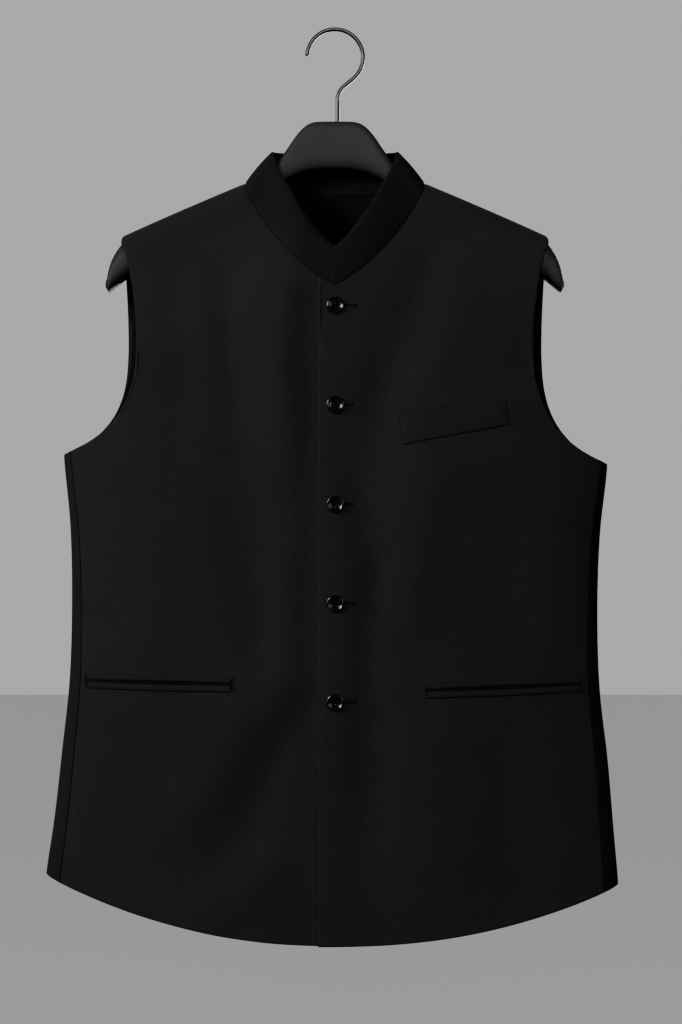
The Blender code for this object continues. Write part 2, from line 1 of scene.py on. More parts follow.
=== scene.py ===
# %% [markdown]
# # A nehru jacket on a hanger
#
# The jacket is a sleeveless one in fine black wool: two fronts that lap and
# button, two backs, and a stand-up collar, hung on a broad hanger. It is a
# lesson in making tailored cloth from formulas: one smooth form carries every
# panel, so all seams meet, and the creases are laid on that form.
#
# The imported model is loaded first. It fixes where everything is, and each cloth
# piece below stands for one of its plain solids.

# %% Load the frame
import math

import bpy
import numpy as np
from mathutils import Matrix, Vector


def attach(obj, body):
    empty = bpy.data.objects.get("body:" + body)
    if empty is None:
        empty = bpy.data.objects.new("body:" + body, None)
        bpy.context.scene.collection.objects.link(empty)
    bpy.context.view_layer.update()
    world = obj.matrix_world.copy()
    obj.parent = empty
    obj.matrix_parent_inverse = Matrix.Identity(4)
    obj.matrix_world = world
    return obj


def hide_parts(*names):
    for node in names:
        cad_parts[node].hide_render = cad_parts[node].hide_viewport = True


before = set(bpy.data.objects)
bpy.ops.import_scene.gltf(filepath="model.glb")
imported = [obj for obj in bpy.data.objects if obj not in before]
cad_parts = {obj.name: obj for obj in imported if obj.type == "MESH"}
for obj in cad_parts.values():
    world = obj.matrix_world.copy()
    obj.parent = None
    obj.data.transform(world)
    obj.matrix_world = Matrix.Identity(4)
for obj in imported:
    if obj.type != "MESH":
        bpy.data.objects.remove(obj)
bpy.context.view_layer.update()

# %% [markdown]
# ## Small tools for curves and meshes
#
# Tailoring is drawn with smooth curves through a few marked points. A short
# table holds the points, and a cubic between each pair of rows joins them
# without a corner. The alternative, a long list of points, would be exact but
# could not be read or changed.


# %% Tables and smooth curves
def table(columns, *rows):
    """A short table as named columns of numbers."""
    return dict(zip(columns.split(), np.array(rows, float).T))


def through(at, places, values):
    """A cubic between each pair of rows, with the slope of the neighbours' average."""
    slope = np.gradient(values, places)
    i = np.clip(np.searchsorted(places, at) - 1, 0, len(places) - 2)
    span = places[i + 1] - places[i]
    t = np.clip((at - places[i]) / span, 0, 1)
    start = (1 + 2 * t) * (1 - t) ** 2 * values[i] + t * (1 - t) ** 2 * span * slope[i]
    end = t**2 * (3 - 2 * t) * values[i + 1] + t**2 * (t - 1) * span * slope[i + 1]
    return start + end


def ease(t):
    """0 to 1 with no slope at either end: 3 t squared minus 2 t cubed."""
    t = np.clip(t, 0, 1)
    return t * t * (3 - 2 * t)


def unit(vectors):
    """Each vector divided by its length."""
    return vectors / np.maximum(np.linalg.norm(vectors, axis=-1, keepdims=True), 1e-12)


def lengths(points):
    """Length along a path up to each of its points, from 0."""
    steps = np.linalg.norm(np.diff(points, axis=0), axis=1)
    return np.concatenate([[0], np.cumsum(steps)])


# %% Meshes and objects
def as_mesh(name, points, faces):
    """A smooth-shaded mesh from any array of points and a list of faces."""
    mesh = bpy.data.meshes.new(name)
    points = np.asarray(points).reshape(-1, 3).tolist()
    mesh.from_pydata(points, [], faces.tolist() if isinstance(faces, np.ndarray) else faces)
    mesh.shade_smooth()
    return mesh


def quads(index):
    """The four corners of every cell of a net of point numbers."""
    cells = [index[:-1, :-1], index[:-1, 1:], index[1:, 1:], index[1:, :-1]]
    return np.stack(cells, axis=-1).reshape(-1, 4)


def skin(rings):
    """The four corners of every cell between closed rings of point numbers."""
    after = np.roll(rings, -1, axis=1)
    return np.stack([rings[:-1], rings[1:], after[1:], after[:-1]], axis=-1).reshape(-1, 4)


def shell(index, rings):
    """Faces of a net, of the same net behind it, and of the rim's rings between."""
    cells = quads(index)
    return np.concatenate([cells, cells[:, ::-1] + index.size, skin(rings)])


def lofted(name, rings, first=0):
    """A skin through rings of points with an end face on each; first turns the cells."""
    index = np.arange(rings[..., 0].size).reshape(rings.shape[:2])
    faces = np.roll(skin(index), -first, axis=1).tolist()
    return as_mesh(name, rings, faces + [index[0].tolist(), index[-1][::-1].tolist()])


def linked(name, data):
    """A new object in the scene's own collection."""
    made = bpy.data.objects.new(name, data)
    bpy.context.scene.collection.objects.link(made)
    return made


# %% [markdown]
# ## The form that carries the cloth
#
# A hanging jacket is a flattened tube whose section is wide and shallow. Each
# level of this tube is a superellipse, deeper in front than behind. Above the
# underarm the tube opens into two sheets, and these rise to a ridge over the
# hanger's arms. Two numbers name a point: the angle around from the centre
# front, and the length of cloth down from the ridge.

# %% Sizes of the form
WALL = 0.0020
GAP = 0.0003
BODY = table(
    "height right left front back",
    (-0.890, 0.2860, 0.2790, 0.036, 0.025),
    (-0.830, 0.2830, 0.2775, 0.037, 0.024),
    (-0.770, 0.2745, 0.2725, 0.038, 0.024),
    (-0.700, 0.2665, 0.2665, 0.040, 0.024),
    (-0.640, 0.2600, 0.2595, 0.042, 0.024),
    (-0.560, 0.2572, 0.2568, 0.045, 0.025),
    (-0.480, 0.2590, 0.2595, 0.049, 0.028),
    (-0.415, 0.2650, 0.2665, 0.051, 0.030),
    (-0.340, 0.2665, 0.2680, 0.050, 0.033),
    (-0.250, 0.2665, 0.2680, 0.046, 0.034),
    (-0.110, 0.2665, 0.2680, 0.038, 0.032),
)
SQUARE_WIDE, SQUARE_DEEP = 2.6, 1.8
RIDGE_TOP, RIDGE_SLOPE, RIDGE_CURVE, RIDGE_SOFT = -0.1222, 0.42, 0.098, 0.030
RIDGE_HALF, RIDGE_HALF_END, SHOULDER_END = 0.0135, 0.0235, 0.2078
FRONT_SETTLE, BACK_SETTLE = 0.130, 0.075
LEFT_DROP, DROP_HALF, DROP_TOP, DROP_FALL = 0.0095, 0.265, -0.20, 0.21


# %% The form as a function of two numbers
def body(key, height):
    """One column of the body's table at a height."""
    return through(height, BODY["height"], BODY[key])


def half_width(height, left):
    """Half-width of the tube at a height, on the wearer's left or right."""
    return np.where(left, body("left", height), body("right", height))


def ridge_height(x):
    """Shoulder line: a slope with a slight sag, rounded off at the centre."""
    out = np.sqrt(x**2 + RIDGE_SOFT**2) - RIDGE_SOFT
    return RIDGE_TOP - RIDGE_SLOPE * out - RIDGE_CURVE * out**2


def ridge_half(x):
    """Radius of the fold over the hanger, wider towards the shoulder's end."""
    return RIDGE_HALF + (RIDGE_HALF_END - RIDGE_HALF) * ease(np.abs(x) / SHOULDER_END)


def left_drop(x, z):
    """The wearer's left side hangs a little lower."""
    share = np.clip(x / DROP_HALF, 0, 1.1) ** 1.5
    return LEFT_DROP * share * ease((DROP_TOP - z) / DROP_FALL)


def form(around, down):
    """The outer cloth: a quarter turn over the hanger, then the tube's section.

    The section's depth is D (1 - u^2.6)^(1/1.8) at the share u of the half-width.
    """
    left, wide, front = around > 0, np.abs(np.sin(around)), np.cos(around) >= 0
    sign = np.where(left, 1.0, -1.0)
    x = sign * wide * BODY["right"][-1]
    for _ in range(6):
        radius = ridge_half(x)
        turn = np.clip(down / radius, -math.pi / 2, math.pi / 2)
        straight = np.maximum(np.abs(down) - radius * math.pi / 2, 0)
        fallen = radius * (1 - np.cos(turn)) + straight
        z = ridge_height(x) - fallen
        x = sign * wide * half_width(z, left)
    depth = np.where(front, body("front", z), body("back", z))
    depth = depth * np.maximum(1 - wide**SQUARE_WIDE, 0) ** (1 / SQUARE_DEEP)
    settled = ease(fallen / np.where(front, FRONT_SETTLE, BACK_SETTLE))
    y = radius * np.sin(turn) + (depth - radius) * settled
    return np.stack([x, np.where(front, -y, y), z - left_drop(x, z)], axis=-1)


def outward(around, down):
    """The form's unit normal: the cross product of its two small steps."""
    side = form(around + 1e-4, down) - form(around - 1e-4, down)
    fall = form(around, down + 1e-5) - form(around, down - 1e-5)
    return unit(np.cross(fall, side))


def place(x, z, back=False):
    """The form's two numbers for a point at x and, before the drop, z."""
    x, z = np.broadcast_arrays(np.asarray(x, float), np.asarray(z, float))
    around = np.arcsin(np.clip(np.abs(x) / half_width(z, x > 0), 0, 1))
    around = np.pi - around if back else around
    fallen = np.maximum(ridge_height(x) - z, 0)
    radius = ridge_half(x)
    turn = np.arccos(np.clip(1 - fallen / radius, -1, 1))
    down = np.where(fallen < radius, radius * turn, radius * (math.pi / 2 - 1) + fallen)
    return np.stack([np.where(x < 0, -around, around), down], axis=-1)


# %% [markdown]
# ## Creases
#
# Pressed wool on a hanger has no sharp folds. It has long soft troughs where
# the chest hangs from the collar, a few slanting ones that start at the
# buttons, and slight waves above the hem. Each is a row of the tables below:
# a straight stretch of cloth, a width, and how far it sinks (minus) or swells
# (plus). A bell curve gives the section, and both ends fade out. A cloth
# simulation would find its own folds. Here each one is placed one by one.

# %% Troughs and ridges of the front and back
FRONT_FOLDS = table(
    "x0 z0 x1 z1 width swell",
    (-0.104, -0.225, -0.092, -0.430, 0.026, -0.0080),
    (-0.044, -0.225, -0.048, -0.425, 0.024, 0.0060),
    (-0.023, -0.320, -0.025, -0.760, 0.010, -0.0016),
    (-0.150, -0.230, -0.140, -0.430, 0.032, -0.0040),
    (-0.205, -0.420, -0.170, -0.600, 0.042, 0.0028),
    (-0.088, -0.440, -0.070, -0.630, 0.024, -0.0064),
    (-0.044, -0.480, -0.056, -0.680, 0.020, 0.0030),
    (-0.036, -0.660, -0.105, -0.815, 0.024, -0.0060),
    (-0.075, -0.630, -0.150, -0.780, 0.028, 0.0046),
    (-0.060, -0.800, -0.130, -0.868, 0.024, 0.0030),
    (-0.215, -0.690, -0.225, -0.845, 0.028, -0.0020),
    (0.112, -0.185, 0.026, -0.395, 0.024, -0.0064),
    (0.130, -0.255, 0.088, -0.350, 0.026, 0.0030),
    (0.052, -0.330, 0.024, -0.480, 0.018, -0.0030),
    (0.014, -0.430, 0.052, -0.560, 0.018, -0.0046),
    (0.036, -0.520, 0.034, -0.790, 0.022, -0.0068),
    (0.085, -0.420, 0.080, -0.570, 0.028, 0.0046),
    (0.190, -0.250, 0.182, -0.345, 0.026, -0.0022),
    (0.152, -0.440, 0.178, -0.600, 0.034, -0.0022),
    (0.215, -0.440, 0.206, -0.620, 0.030, 0.0020),
    (0.092, -0.650, 0.104, -0.850, 0.036, 0.0034),
    (0.165, -0.690, 0.190, -0.850, 0.032, -0.0026),
)
BACK_FOLDS = table(
    "x0 z0 x1 z1 width swell",
    (-0.075, -0.190, -0.095, -0.420, 0.030, 0.0030),
    (0.082, -0.190, 0.090, -0.440, 0.028, 0.0028),
    (-0.140, -0.240, -0.165, -0.470, 0.028, -0.0036),
    (0.145, -0.250, 0.160, -0.450, 0.030, -0.0034),
    (-0.035, -0.175, -0.030, -0.300, 0.018, -0.0022),
    (0.032, -0.172, 0.036, -0.320, 0.020, -0.0020),
    (-0.060, -0.500, -0.085, -0.790, 0.028, -0.0040),
    (0.050, -0.560, 0.078, -0.820, 0.026, -0.0036),
    (0.120, -0.620, 0.150, -0.845, 0.036, 0.0030),
    (-0.135, -0.600, -0.170, -0.840, 0.034, 0.0028),
    (-0.210, -0.440, -0.180, -0.560, 0.024, -0.0024),
    (0.212, -0.450, 0.186, -0.580, 0.024, -0.0026),
)


def swell(x, z, folds):
    """How far the cloth stands off the form: a bell across each fold, faded ends."""
    total = np.zeros(np.broadcast(x, z).shape)
    for x0, z0, x1, z1, width, depth in zip(*folds.values()):
        run = math.hypot(x1 - x0, z1 - z0)
        along = ((x - x0) * (x1 - x0) + (z - z0) * (z1 - z0)) / run**2
        aside = ((x - x0) * (z1 - z0) - (z - z0) * (x1 - x0)) / run
        # A slight bow and a wandering width keep a fold from looking ruled.
        aside = aside + 0.12 * width * np.sin(5.0 * along + 90 * x0)
        spread = width * (1 + 0.25 * np.sin(3.1 * along + 40 * z0))
        fade = ease((along + 0.25) / 0.5) * ease((1.25 - along) / 0.5)
        total = total + depth * np.exp(-((aside / spread) ** 2)) * fade
    return total


def quiet_near_ridge(down):
    """Folds die away over the hanger, where the cloth is held."""
    return ease((down - 0.035) / 0.08)


def sheet_point(around, down):
    """Point and normal of the creased cloth."""
    base = form(around, down)
    normal = outward(around, down)
    front = np.cos(around) >= 0
    height = np.where(
        front,
        swell(base[..., 0], base[..., 2], FRONT_FOLDS),
        swell(base[..., 0], base[..., 2], BACK_FOLDS),
    )
    # Nothing swells at the side fold, where front and back folds would differ.
    calm = ease((1 - np.abs(np.sin(around))) / 0.06) * quiet_near_ridge(down)
    return base + normal * (height * calm)[..., None], normal


def on_front(x, z):
    """Point and normal of the creased front at a final x and height z."""
    there = place(x, z + left_drop(x, z))
    return sheet_point(there[..., 0], there[..., 1])


print("deepest fold", round(1000 * float(FRONT_FOLDS["swell"].min()), 1), "mm")

# %% [markdown]
# ## The cut: necklines, armholes, seams and hems
#
# The pattern is drawn on the form with the same few numbers a cutter would use:
# a neck hole deeper in front than behind, an armhole scooped further in front,
# side seams that lie a little forward of the fold, and a hem that dips towards
# the centre. Both panels of a seam take their edge from one function, so they
# meet without a gap.

# %% Sizes of the cut
NECK_HALF, NECK_FRONT, NECK_BACK = 0.088, 0.103, 0.008
NECK_POWER, NECK_BACK_POWER = 1.32, 2.5
LAP = 0.0162
SEAM = 0.00001
FRONT_HEM, FRONT_RISE = -0.888, 0.064
BACK_HEM, BACK_RISE = -0.864, 0.040
SEAM_INSET_TOP, SEAM_INSET_HEM = 0.0085, 0.0165
UNDERARM = -0.4135
ARMHOLE_FRONT = table(
    "half height",
    (0.2078, -0.2005),
    (0.2075, -0.2100),
    (0.2030, -0.2185),
    (0.1990, -0.2350),
    (0.1950, -0.2580),
    (0.1920, -0.2850),
    (0.1912, -0.3120),
    (0.1935, -0.3400),
    (0.2015, -0.3635),
    (0.2150, -0.3840),
    (0.2350, -0.4000),
    (0.2565, -0.4105),
)
ARMHOLE_BACK = table(
    "half height",
    (0.2078, -0.2005),
    (0.2082, -0.2120),
    (0.2070, -0.2350),
    (0.2055, -0.2620),
    (0.2045, -0.2900),
    (0.2045, -0.3150),
    (0.2065, -0.3410),
    (0.2125, -0.3640),
    (0.2235, -0.3835),
    (0.2400, -0.4000),
    (0.2560, -0.4095),
)


# %% Edges of the panels
def turn_at(x):
    """The neckline's turn at a small x near the centre front."""
    return math.copysign(math.asin((abs(x) / NECK_HALF) ** (NECK_POWER / 2)), x)


def neckline(turn, back=False):
    """A superellipse in x and z: turn is 0 at the centre and pi/2 at the ridge."""
    power = NECK_BACK_POWER if back else NECK_POWER
    x = NECK_HALF * np.sign(turn) * np.abs(np.sin(turn)) ** (2 / power)
    fall = (NECK_BACK if back else NECK_FRONT) * np.abs(np.cos(turn)) ** (2 / power)
    return x, ridge_height(NECK_HALF) - fall


def seam_half(z, left):
    """Side seam's distance from the centre: the half-width less a growing inset."""
    t = (z - FRONT_HEM) / (UNDERARM - FRONT_HEM)
    inset = SEAM_INSET_HEM + (SEAM_INSET_TOP - SEAM_INSET_HEM) * np.clip(t, 0, 1)
    return half_width(z, left) - inset


def hem_height(wide, back=False):
    """A parabola that rises from the centre by the square of the share of width."""
    if back:
        return BACK_HEM + BACK_RISE * wide**2
    return FRONT_HEM + FRONT_RISE * wide**2


def seam_hem_height():
    """The hem's height where the side seam ends, found by repetition."""
    z = FRONT_HEM + FRONT_RISE
    for _ in range(8):
        z = hem_height(seam_half(z, False) / half_width(z, False))
    return float(z)


def resampled(points, count):
    """Points evenly spaced along a smooth curve through the points."""
    index = np.arange(len(points), dtype=float)
    fine = np.linspace(0, len(points) - 1, 60 * len(points))
    dense = np.stack([through(fine, index, column) for column in points.T], axis=1)
    length = lengths(dense)
    even = np.linspace(0, length[-1], count)
    return np.stack([np.interp(even, length, column) for column in dense.T], axis=1)


def coons(bottom, top, left, right):
    """The net whose four edges are these curves: sides plus ends less corners."""
    s = np.linspace(0, 1, len(bottom))[None, :, None]
    t = np.linspace(0, 1, len(left))[:, None, None]
    sides = (1 - s) * left[:, None] + s * right[:, None]
    ends = (1 - t) * bottom[None] + t * top[None]
    low = (1 - s) * bottom[0] + s * bottom[-1]
    high = (1 - s) * top[0] + s * top[-1]
    return sides + ends - (1 - t) * low - t * high


# %% [markdown]
# ## Panels as nets
#
# Each panel is a net of the form's two numbers, filled in from its four edges
# by a Coons patch, which is how a cutter would stretch a paper pattern over a
# dress form. A Coons patch alone folds over itself beside a deep armhole, so
# its inner points are then evened out. Calm cloth needs no finer net than one
# line about every five millimetres.


# %% Evening out a net
def evened(net, rounds=420):
    """The net with its inner points spread, to keep its cells from folding over.

    Each inner point moves to a mean of its neighbours, weighted by how stretched
    the cells are the other way, with the net's shear taken off.
    """
    metres = np.array([BODY["right"][-1], 1.0])
    net = net * metres
    for _ in range(rounds):
        across = (net[1:-1, 2:] - net[1:-1, :-2]) / 2
        up = (net[2:, 1:-1] - net[:-2, 1:-1]) / 2
        by_up = (up**2).sum(-1, keepdims=True)
        by_across = (across**2).sum(-1, keepdims=True)
        shear = (across * up).sum(-1, keepdims=True)
        corners = (net[2:, 2:] - net[2:, :-2] - net[:-2, 2:] + net[:-2, :-2]) / 4
        beside = net[1:-1, 2:] + net[1:-1, :-2]
        above = net[2:, 1:-1] + net[:-2, 1:-1]
        spread = by_up * beside + by_across * above - 2 * shear * corners
        net[1:-1, 1:-1] = spread / (2 * (by_up + by_across))
    return net / metres


# %% Nets of the fronts and backs
NECK_COLUMNS, SHOULDER_COLUMNS = 40, 32
SIDE_ROWS, ARM_ROWS = 84, 64


def top_edge(side, neck_x, neck_z, back=False):
    """A panel's neckline and then its shoulder, no higher than the ridge seam."""
    shoulder = np.linspace(NECK_HALF, SHOULDER_END, SHOULDER_COLUMNS + 1)[1:]
    runs = ((neck_x, neck_z), (shoulder, ridge_height(shoulder)))
    top = np.concatenate([place(side * x, z, back) for x, z in runs])
    top[:, 1] = np.maximum(top[:, 1], SEAM)
    return top


def from_below(armhole):
    """An armhole's points from the underarm up."""
    return np.stack([armhole["half"], armhole["height"]], axis=1)[::-1]


def side_seam(side):
    """A panel's side edge from the hem to the underarm."""
    z = np.linspace(seam_hem_height(), ARMHOLE_FRONT["height"][-1], SIDE_ROWS + 1)
    return place(side * seam_half(z, side > 0), z)


def centre_heights(foot, top):
    """Heights of the rows at the middle: as many up to the underarm as the seam has."""
    low = np.linspace(foot, UNDERARM, SIDE_ROWS + 1)
    return np.concatenate([low, np.linspace(UNDERARM, top, ARM_ROWS + 1)[1:]])


def front_net(side, edge):
    """Places of a front's grid: side is -1 or 1, edge its opening edge's x."""
    left = side > 0
    hem_side = seam_hem_height()
    turns = np.linspace(turn_at(edge * side), math.pi / 2, NECK_COLUMNS + 1)
    neck_x, neck_z = neckline(turns)
    top = top_edge(side, neck_x, neck_z)
    across = np.linspace(edge * side, seam_half(hem_side, left), len(top))
    wide = across / half_width(hem_side, left)
    bottom = place(side * across, hem_height(wide))
    hole = from_below(ARMHOLE_FRONT)
    curve = resampled(hole, ARM_ROWS + 1)[1:]
    outer = np.concatenate([side_seam(side), place(side * curve[:, 0], curve[:, 1])])
    outer[-1] = top[-1]
    foot = float(hem_height(abs(edge) / half_width(hem_side, left)))
    inner = place(edge, centre_heights(foot, float(neck_z[0])))
    return evened(coons(bottom, top, inner, outer))


def back_net(side):
    """Places of a back's grid, from the centre back seam round to the side seam."""
    left = side > 0
    neck_x, neck_z = neckline(np.linspace(0, math.pi / 2, NECK_COLUMNS + 1), back=True)
    top = top_edge(side, np.maximum(neck_x, SEAM), neck_z, back=True)
    seam = side_seam(side)
    hole = from_below(ARMHOLE_BACK)
    behind = place(side * hole[:, 0], hole[:, 1], back=True)
    fold = place(side * half_width(UNDERARM, left), UNDERARM)
    fold[0] = side * math.pi / 2
    # Angles are stretched to metres so that the rows are evenly spaced.
    metres = np.array([half_width(UNDERARM, left), 1.0])
    curve = np.concatenate([seam[-1][None], fold[None], behind]) * metres
    outer = np.concatenate([seam, resampled(curve, ARM_ROWS + 1)[1:] / metres])
    outer[-1] = top[-1]
    angles = np.linspace(side * (math.pi - 1e-3), seam[0, 0], len(top))
    wide = np.abs(np.sin(angles))
    hem = np.where(np.cos(angles) < 0, hem_height(wide, True), hem_height(wide))
    bottom = place(side * wide * half_width(hem, left), hem)
    bottom[:, 0] = angles
    inner = place(side * SEAM, centre_heights(float(hem[0]), float(neck_z[0])), back=True)
    bottom[0], bottom[-1] = inner[0], seam[0]
    return evened(coons(bottom, top, inner, outer))


# %% [markdown]
# ## Cloth with a rolled edge
#
# A cloth wall is two nets, one on each face, joined round the rim. Real seams
# and facings turn under, so the rim is rounded: a half circle where it is sewn
# down, and a softer, wider half ellipse where it is free. Solidify could make
# the wall in one step, but its square rim would look like card.


# %% From nets to closed cloth
def rim_of(net):
    """The net's outline as one ring, anticlockwise."""
    return np.concatenate([net[0, :], net[1:, -1], net[-1, -2::-1], net[-2:0:-1, 0]])


EDGE_SOFT, EDGE_ROLL = 0.0024, 7


def cloth_mesh(
    name, outer, normals, thick, flat, creased, from_hem, soft=EDGE_SOFT, inward=False
):
    """Two faces a thickness apart and a rounded rim, as one closed mesh.

    outer is the outer face's net, normals its unit normals, flat the net's own
    UV in metres. from_hem is each point's distance from the hem. creased is a
    net that is 1 where the rim is sewn down; it is also stored as painted seam
    shade, so a sewn rim is painted dark; with inward, the painted shade runs on
    into the face as the net says.
    """
    middle = outer - normals * (thick / 2)
    along = np.gradient(middle, axis=1)
    up = np.gradient(middle, axis=0)
    if np.sum(np.cross(along, up) * normals) < 0:
        middle, normals, flat = middle[:, ::-1], normals[:, ::-1], flat[:, ::-1]
        from_hem, creased = from_hem[:, ::-1], creased[:, ::-1]
    rows, columns = middle.shape[:2]
    ring, ring_normal = rim_of(middle), rim_of(normals)
    run = unit(np.roll(ring, -1, axis=0) - np.roll(ring, 1, axis=0))
    away = unit(np.cross(run, ring_normal))
    # Pull the outline in by the roll's own reach, so the roll ends on the true edge.
    pulled = middle.copy()
    radius = thick / 2
    sewn_ring = rim_of(creased)[:, None]
    reach = radius + (max(soft, radius) - radius) * (1 - sewn_ring)
    inset = ring - away * reach
    pulled[0, :] = inset[:columns]
    pulled[1:, -1] = inset[columns : columns + rows - 1]
    pulled[-1, -2::-1] = inset[columns + rows - 1 : 2 * columns + rows - 2]
    pulled[-2:0:-1, 0] = inset[2 * columns + rows - 2 :]
    face_out = pulled + normals * radius
    face_in = pulled - normals * radius
    angle = np.linspace(0, math.pi, EDGE_ROLL + 1)[1:-1, None, None]
    rolls = inset + radius * ring_normal * np.cos(angle) + reach * away * np.sin(angle)
    size = rows * columns
    index = np.arange(size).reshape(rows, columns)
    edge = rim_of(index)
    count = len(edge)
    rings = [edge] + [2 * size + k * count + np.arange(count) for k in range(EDGE_ROLL - 1)]
    faces = shell(index, np.stack(rings + [edge + size]))
    parts = [part.reshape(-1, 3) for part in (face_out, face_in, rolls)]
    mesh = as_mesh(name, np.concatenate(parts), faces)

    def on_points(net, only_rim=False):
        on_face = net.reshape(size, -1) * (0 if only_rim else 1)
        rolled = np.tile(rim_of(net).reshape(count, -1), (EDGE_ROLL - 1, 1))
        return np.concatenate([on_face, on_face, rolled]).astype(np.float32)

    loops = np.empty(len(mesh.loops), np.int32)
    mesh.loops.foreach_get("vertex_index", loops)
    uv = mesh.uv_layers.new(name="cloth")
    uv.data.foreach_set("uv", on_points(flat)[loops].ravel())
    # The same net is stored as a mark for painted seam shade in the material.
    on_rim = on_points(creased, only_rim=not inward)
    for mark, values in (("from_hem", on_points(from_hem)), ("painted_seam_shade", on_rim)):
        held = mesh.attributes.new(mark, "FLOAT", "POINT")
        held.data.foreach_set("value", values.ravel())
    return mesh


# %% [markdown]
# ## Materials: fine wool
#
# The wool is a close twill: ribs about a millimetre apart that climb to one
# side, with a heathered tone because no two yarns take the dye alike. One node
# group makes both, and one wool material uses it for every cloth piece. Its
# pattern follows the UV map in metres, so the ribs turn with each cut piece.


# %% Node helpers
def new_group(name, inputs, outputs):
    """A shader group with named float inputs and its outputs as (name, kind)."""
    group = bpy.data.node_groups.new(name, "ShaderNodeTree")
    for title, value in inputs:
        held = group.interface.new_socket(title, in_out="INPUT", socket_type="NodeSocketFloat")
        held.default_value = value
    for title, kind in outputs:
        group.interface.new_socket(title, in_out="OUTPUT", socket_type="NodeSocket" + kind)
    return group


def plug(tree, node, **sockets):
    """Inputs given as values or as outputs; an underscore stands for a space."""
    for key, value in sockets.items():
        name = key.replace("_", " ")
        socket = node.inputs[int(key[1:])] if key[1:].isdigit() else node.inputs[name]
        if isinstance(value, bpy.types.NodeSocket):
            tree.links.new(value, socket)
        else:
            socket.default_value = value


def joined(tree, kind, settings=None, **sockets):
    """A new node, with attributes set and inputs given as values or as outputs."""
    made = tree.nodes.new(kind)
    for key, value in (settings or {}).items():
        setattr(made, key, value)
    plug(tree, made, **sockets)
    return made


def maths(tree, operation, *values):
    """One Math node's output."""
    inputs = {f"i{i}": value for i, value in enumerate(values)}
    return joined(tree, "ShaderNodeMath", {"operation": operation}, **inputs).outputs[0]


def times(tree, one, two):
    """The product of two values or outputs."""
    return maths(tree, "MULTIPLY", one, two)


def plus(tree, one, two):
    """The sum of two values or outputs."""
    return maths(tree, "ADD", one, two)


def noise(tree, where, scale, detail, rough=0.5):
    """Noise from 0 to 1, its grain set by the scale."""
    sockets = dict(Vector=where, Scale=scale, Detail=detail, Roughness=rough)
    return joined(tree, "ShaderNodeTexNoise", **sockets).outputs["Fac"]


def mapped(tree, value, start, end, low, high, kind="LINEAR"):
    """The value carried from one range to another and held at the ends."""
    sockets = dict(Value=value, From_Min=start, From_Max=end, To_Min=low, To_Max=high)
    made = joined(tree, "ShaderNodeMapRange", {"interpolation_type": kind}, **sockets)
    return made.outputs["Result"]


def marked(tree, mark):
    """A number stored on the mesh's points."""
    return joined(tree, "ShaderNodeAttribute", {"attribute_name": mark}).outputs["Fac"]


# %% Twill weave group
TWILL_PITCH = 0.0011


def twill_group():
    """Height of ribs with a fine fibre noise, and a soft tone that wanders."""
    group = new_group(
        "twill weave",
        [("Pitch", TWILL_PITCH), ("Fuzz", 0.5)],
        [("Height", "Float"), ("Tone", "Float")],
    )
    enter, leave = group.nodes.new("NodeGroupInput"), group.nodes.new("NodeGroupOutput")
    cloth = joined(group, "ShaderNodeUVMap", {"uv_map": "cloth"}).outputs["UV"]
    split = joined(group, "ShaderNodeSeparateXYZ", Vector=cloth)

    def turns(along):
        return maths(group, "DIVIDE", times(group, along, 2 * math.pi), enter.outputs["Pitch"])

    # The ribs climb 1.6 times as fast as they go across.
    climb = plus(group, times(group, split.outputs["X"], 1.6), split.outputs["Y"])
    rib = maths(group, "SINE", turns(climb))
    thread = maths(group, "SINE", times(group, turns(split.outputs["Y"]), 2.0))
    weave = plus(group, times(group, rib, 0.5), times(group, thread, 0.2))
    solid = joined(group, "ShaderNodeTexCoord").outputs["Object"]
    fibre = noise(group, solid, 2600.0, 2.0, 0.6)
    fuzz = times(group, maths(group, "SUBTRACT", fibre, 0.5), enter.outputs["Fuzz"])
    height = plus(group, times(group, weave, 0.5), fuzz)
    # Heather: streaks along the warp, a few threads wide.
    streaks = joined(group, "ShaderNodeMapping", Vector=cloth, Scale=(900.0, 55.0, 1.0)).outputs[0]
    heather = noise(group, streaks, 1.0, 3.0)
    cloud = noise(group, solid, 14.0, 3.0)
    grain = noise(group, solid, 520.0, 2.0)
    fine = plus(group, times(group, heather, 0.34), times(group, grain, 0.36))
    wide = plus(group, times(group, cloud, 0.22), times(group, weave, 0.06))
    plug(group, leave, Height=height, Tone=plus(group, fine, wide))
    return group


TWILL = twill_group()
print("twill group sockets", [s.name for s in TWILL.interface.items_tree])


# %% Finishes
def finish(name):
    """A new material, its tree and its shader."""
    made = bpy.data.materials.new(name)
    made.use_nodes = True
    return made, made.node_tree, made.node_tree.nodes["Principled BSDF"]


def ramp(tree, value, *stops):
    """A colour ramp through grey or coloured stops, each (place, colour)."""
    made = tree.nodes.new("ShaderNodeValToRGB")
    while len(made.color_ramp.elements) < len(stops):
        made.color_ramp.elements.new(0.5)
    for element, (where, colour) in zip(made.color_ramp.elements, stops):
        element.position = where
        element.color = (*colour, 1)
    tree.links.new(value, made.inputs["Fac"])
    return made.outputs["Color"]


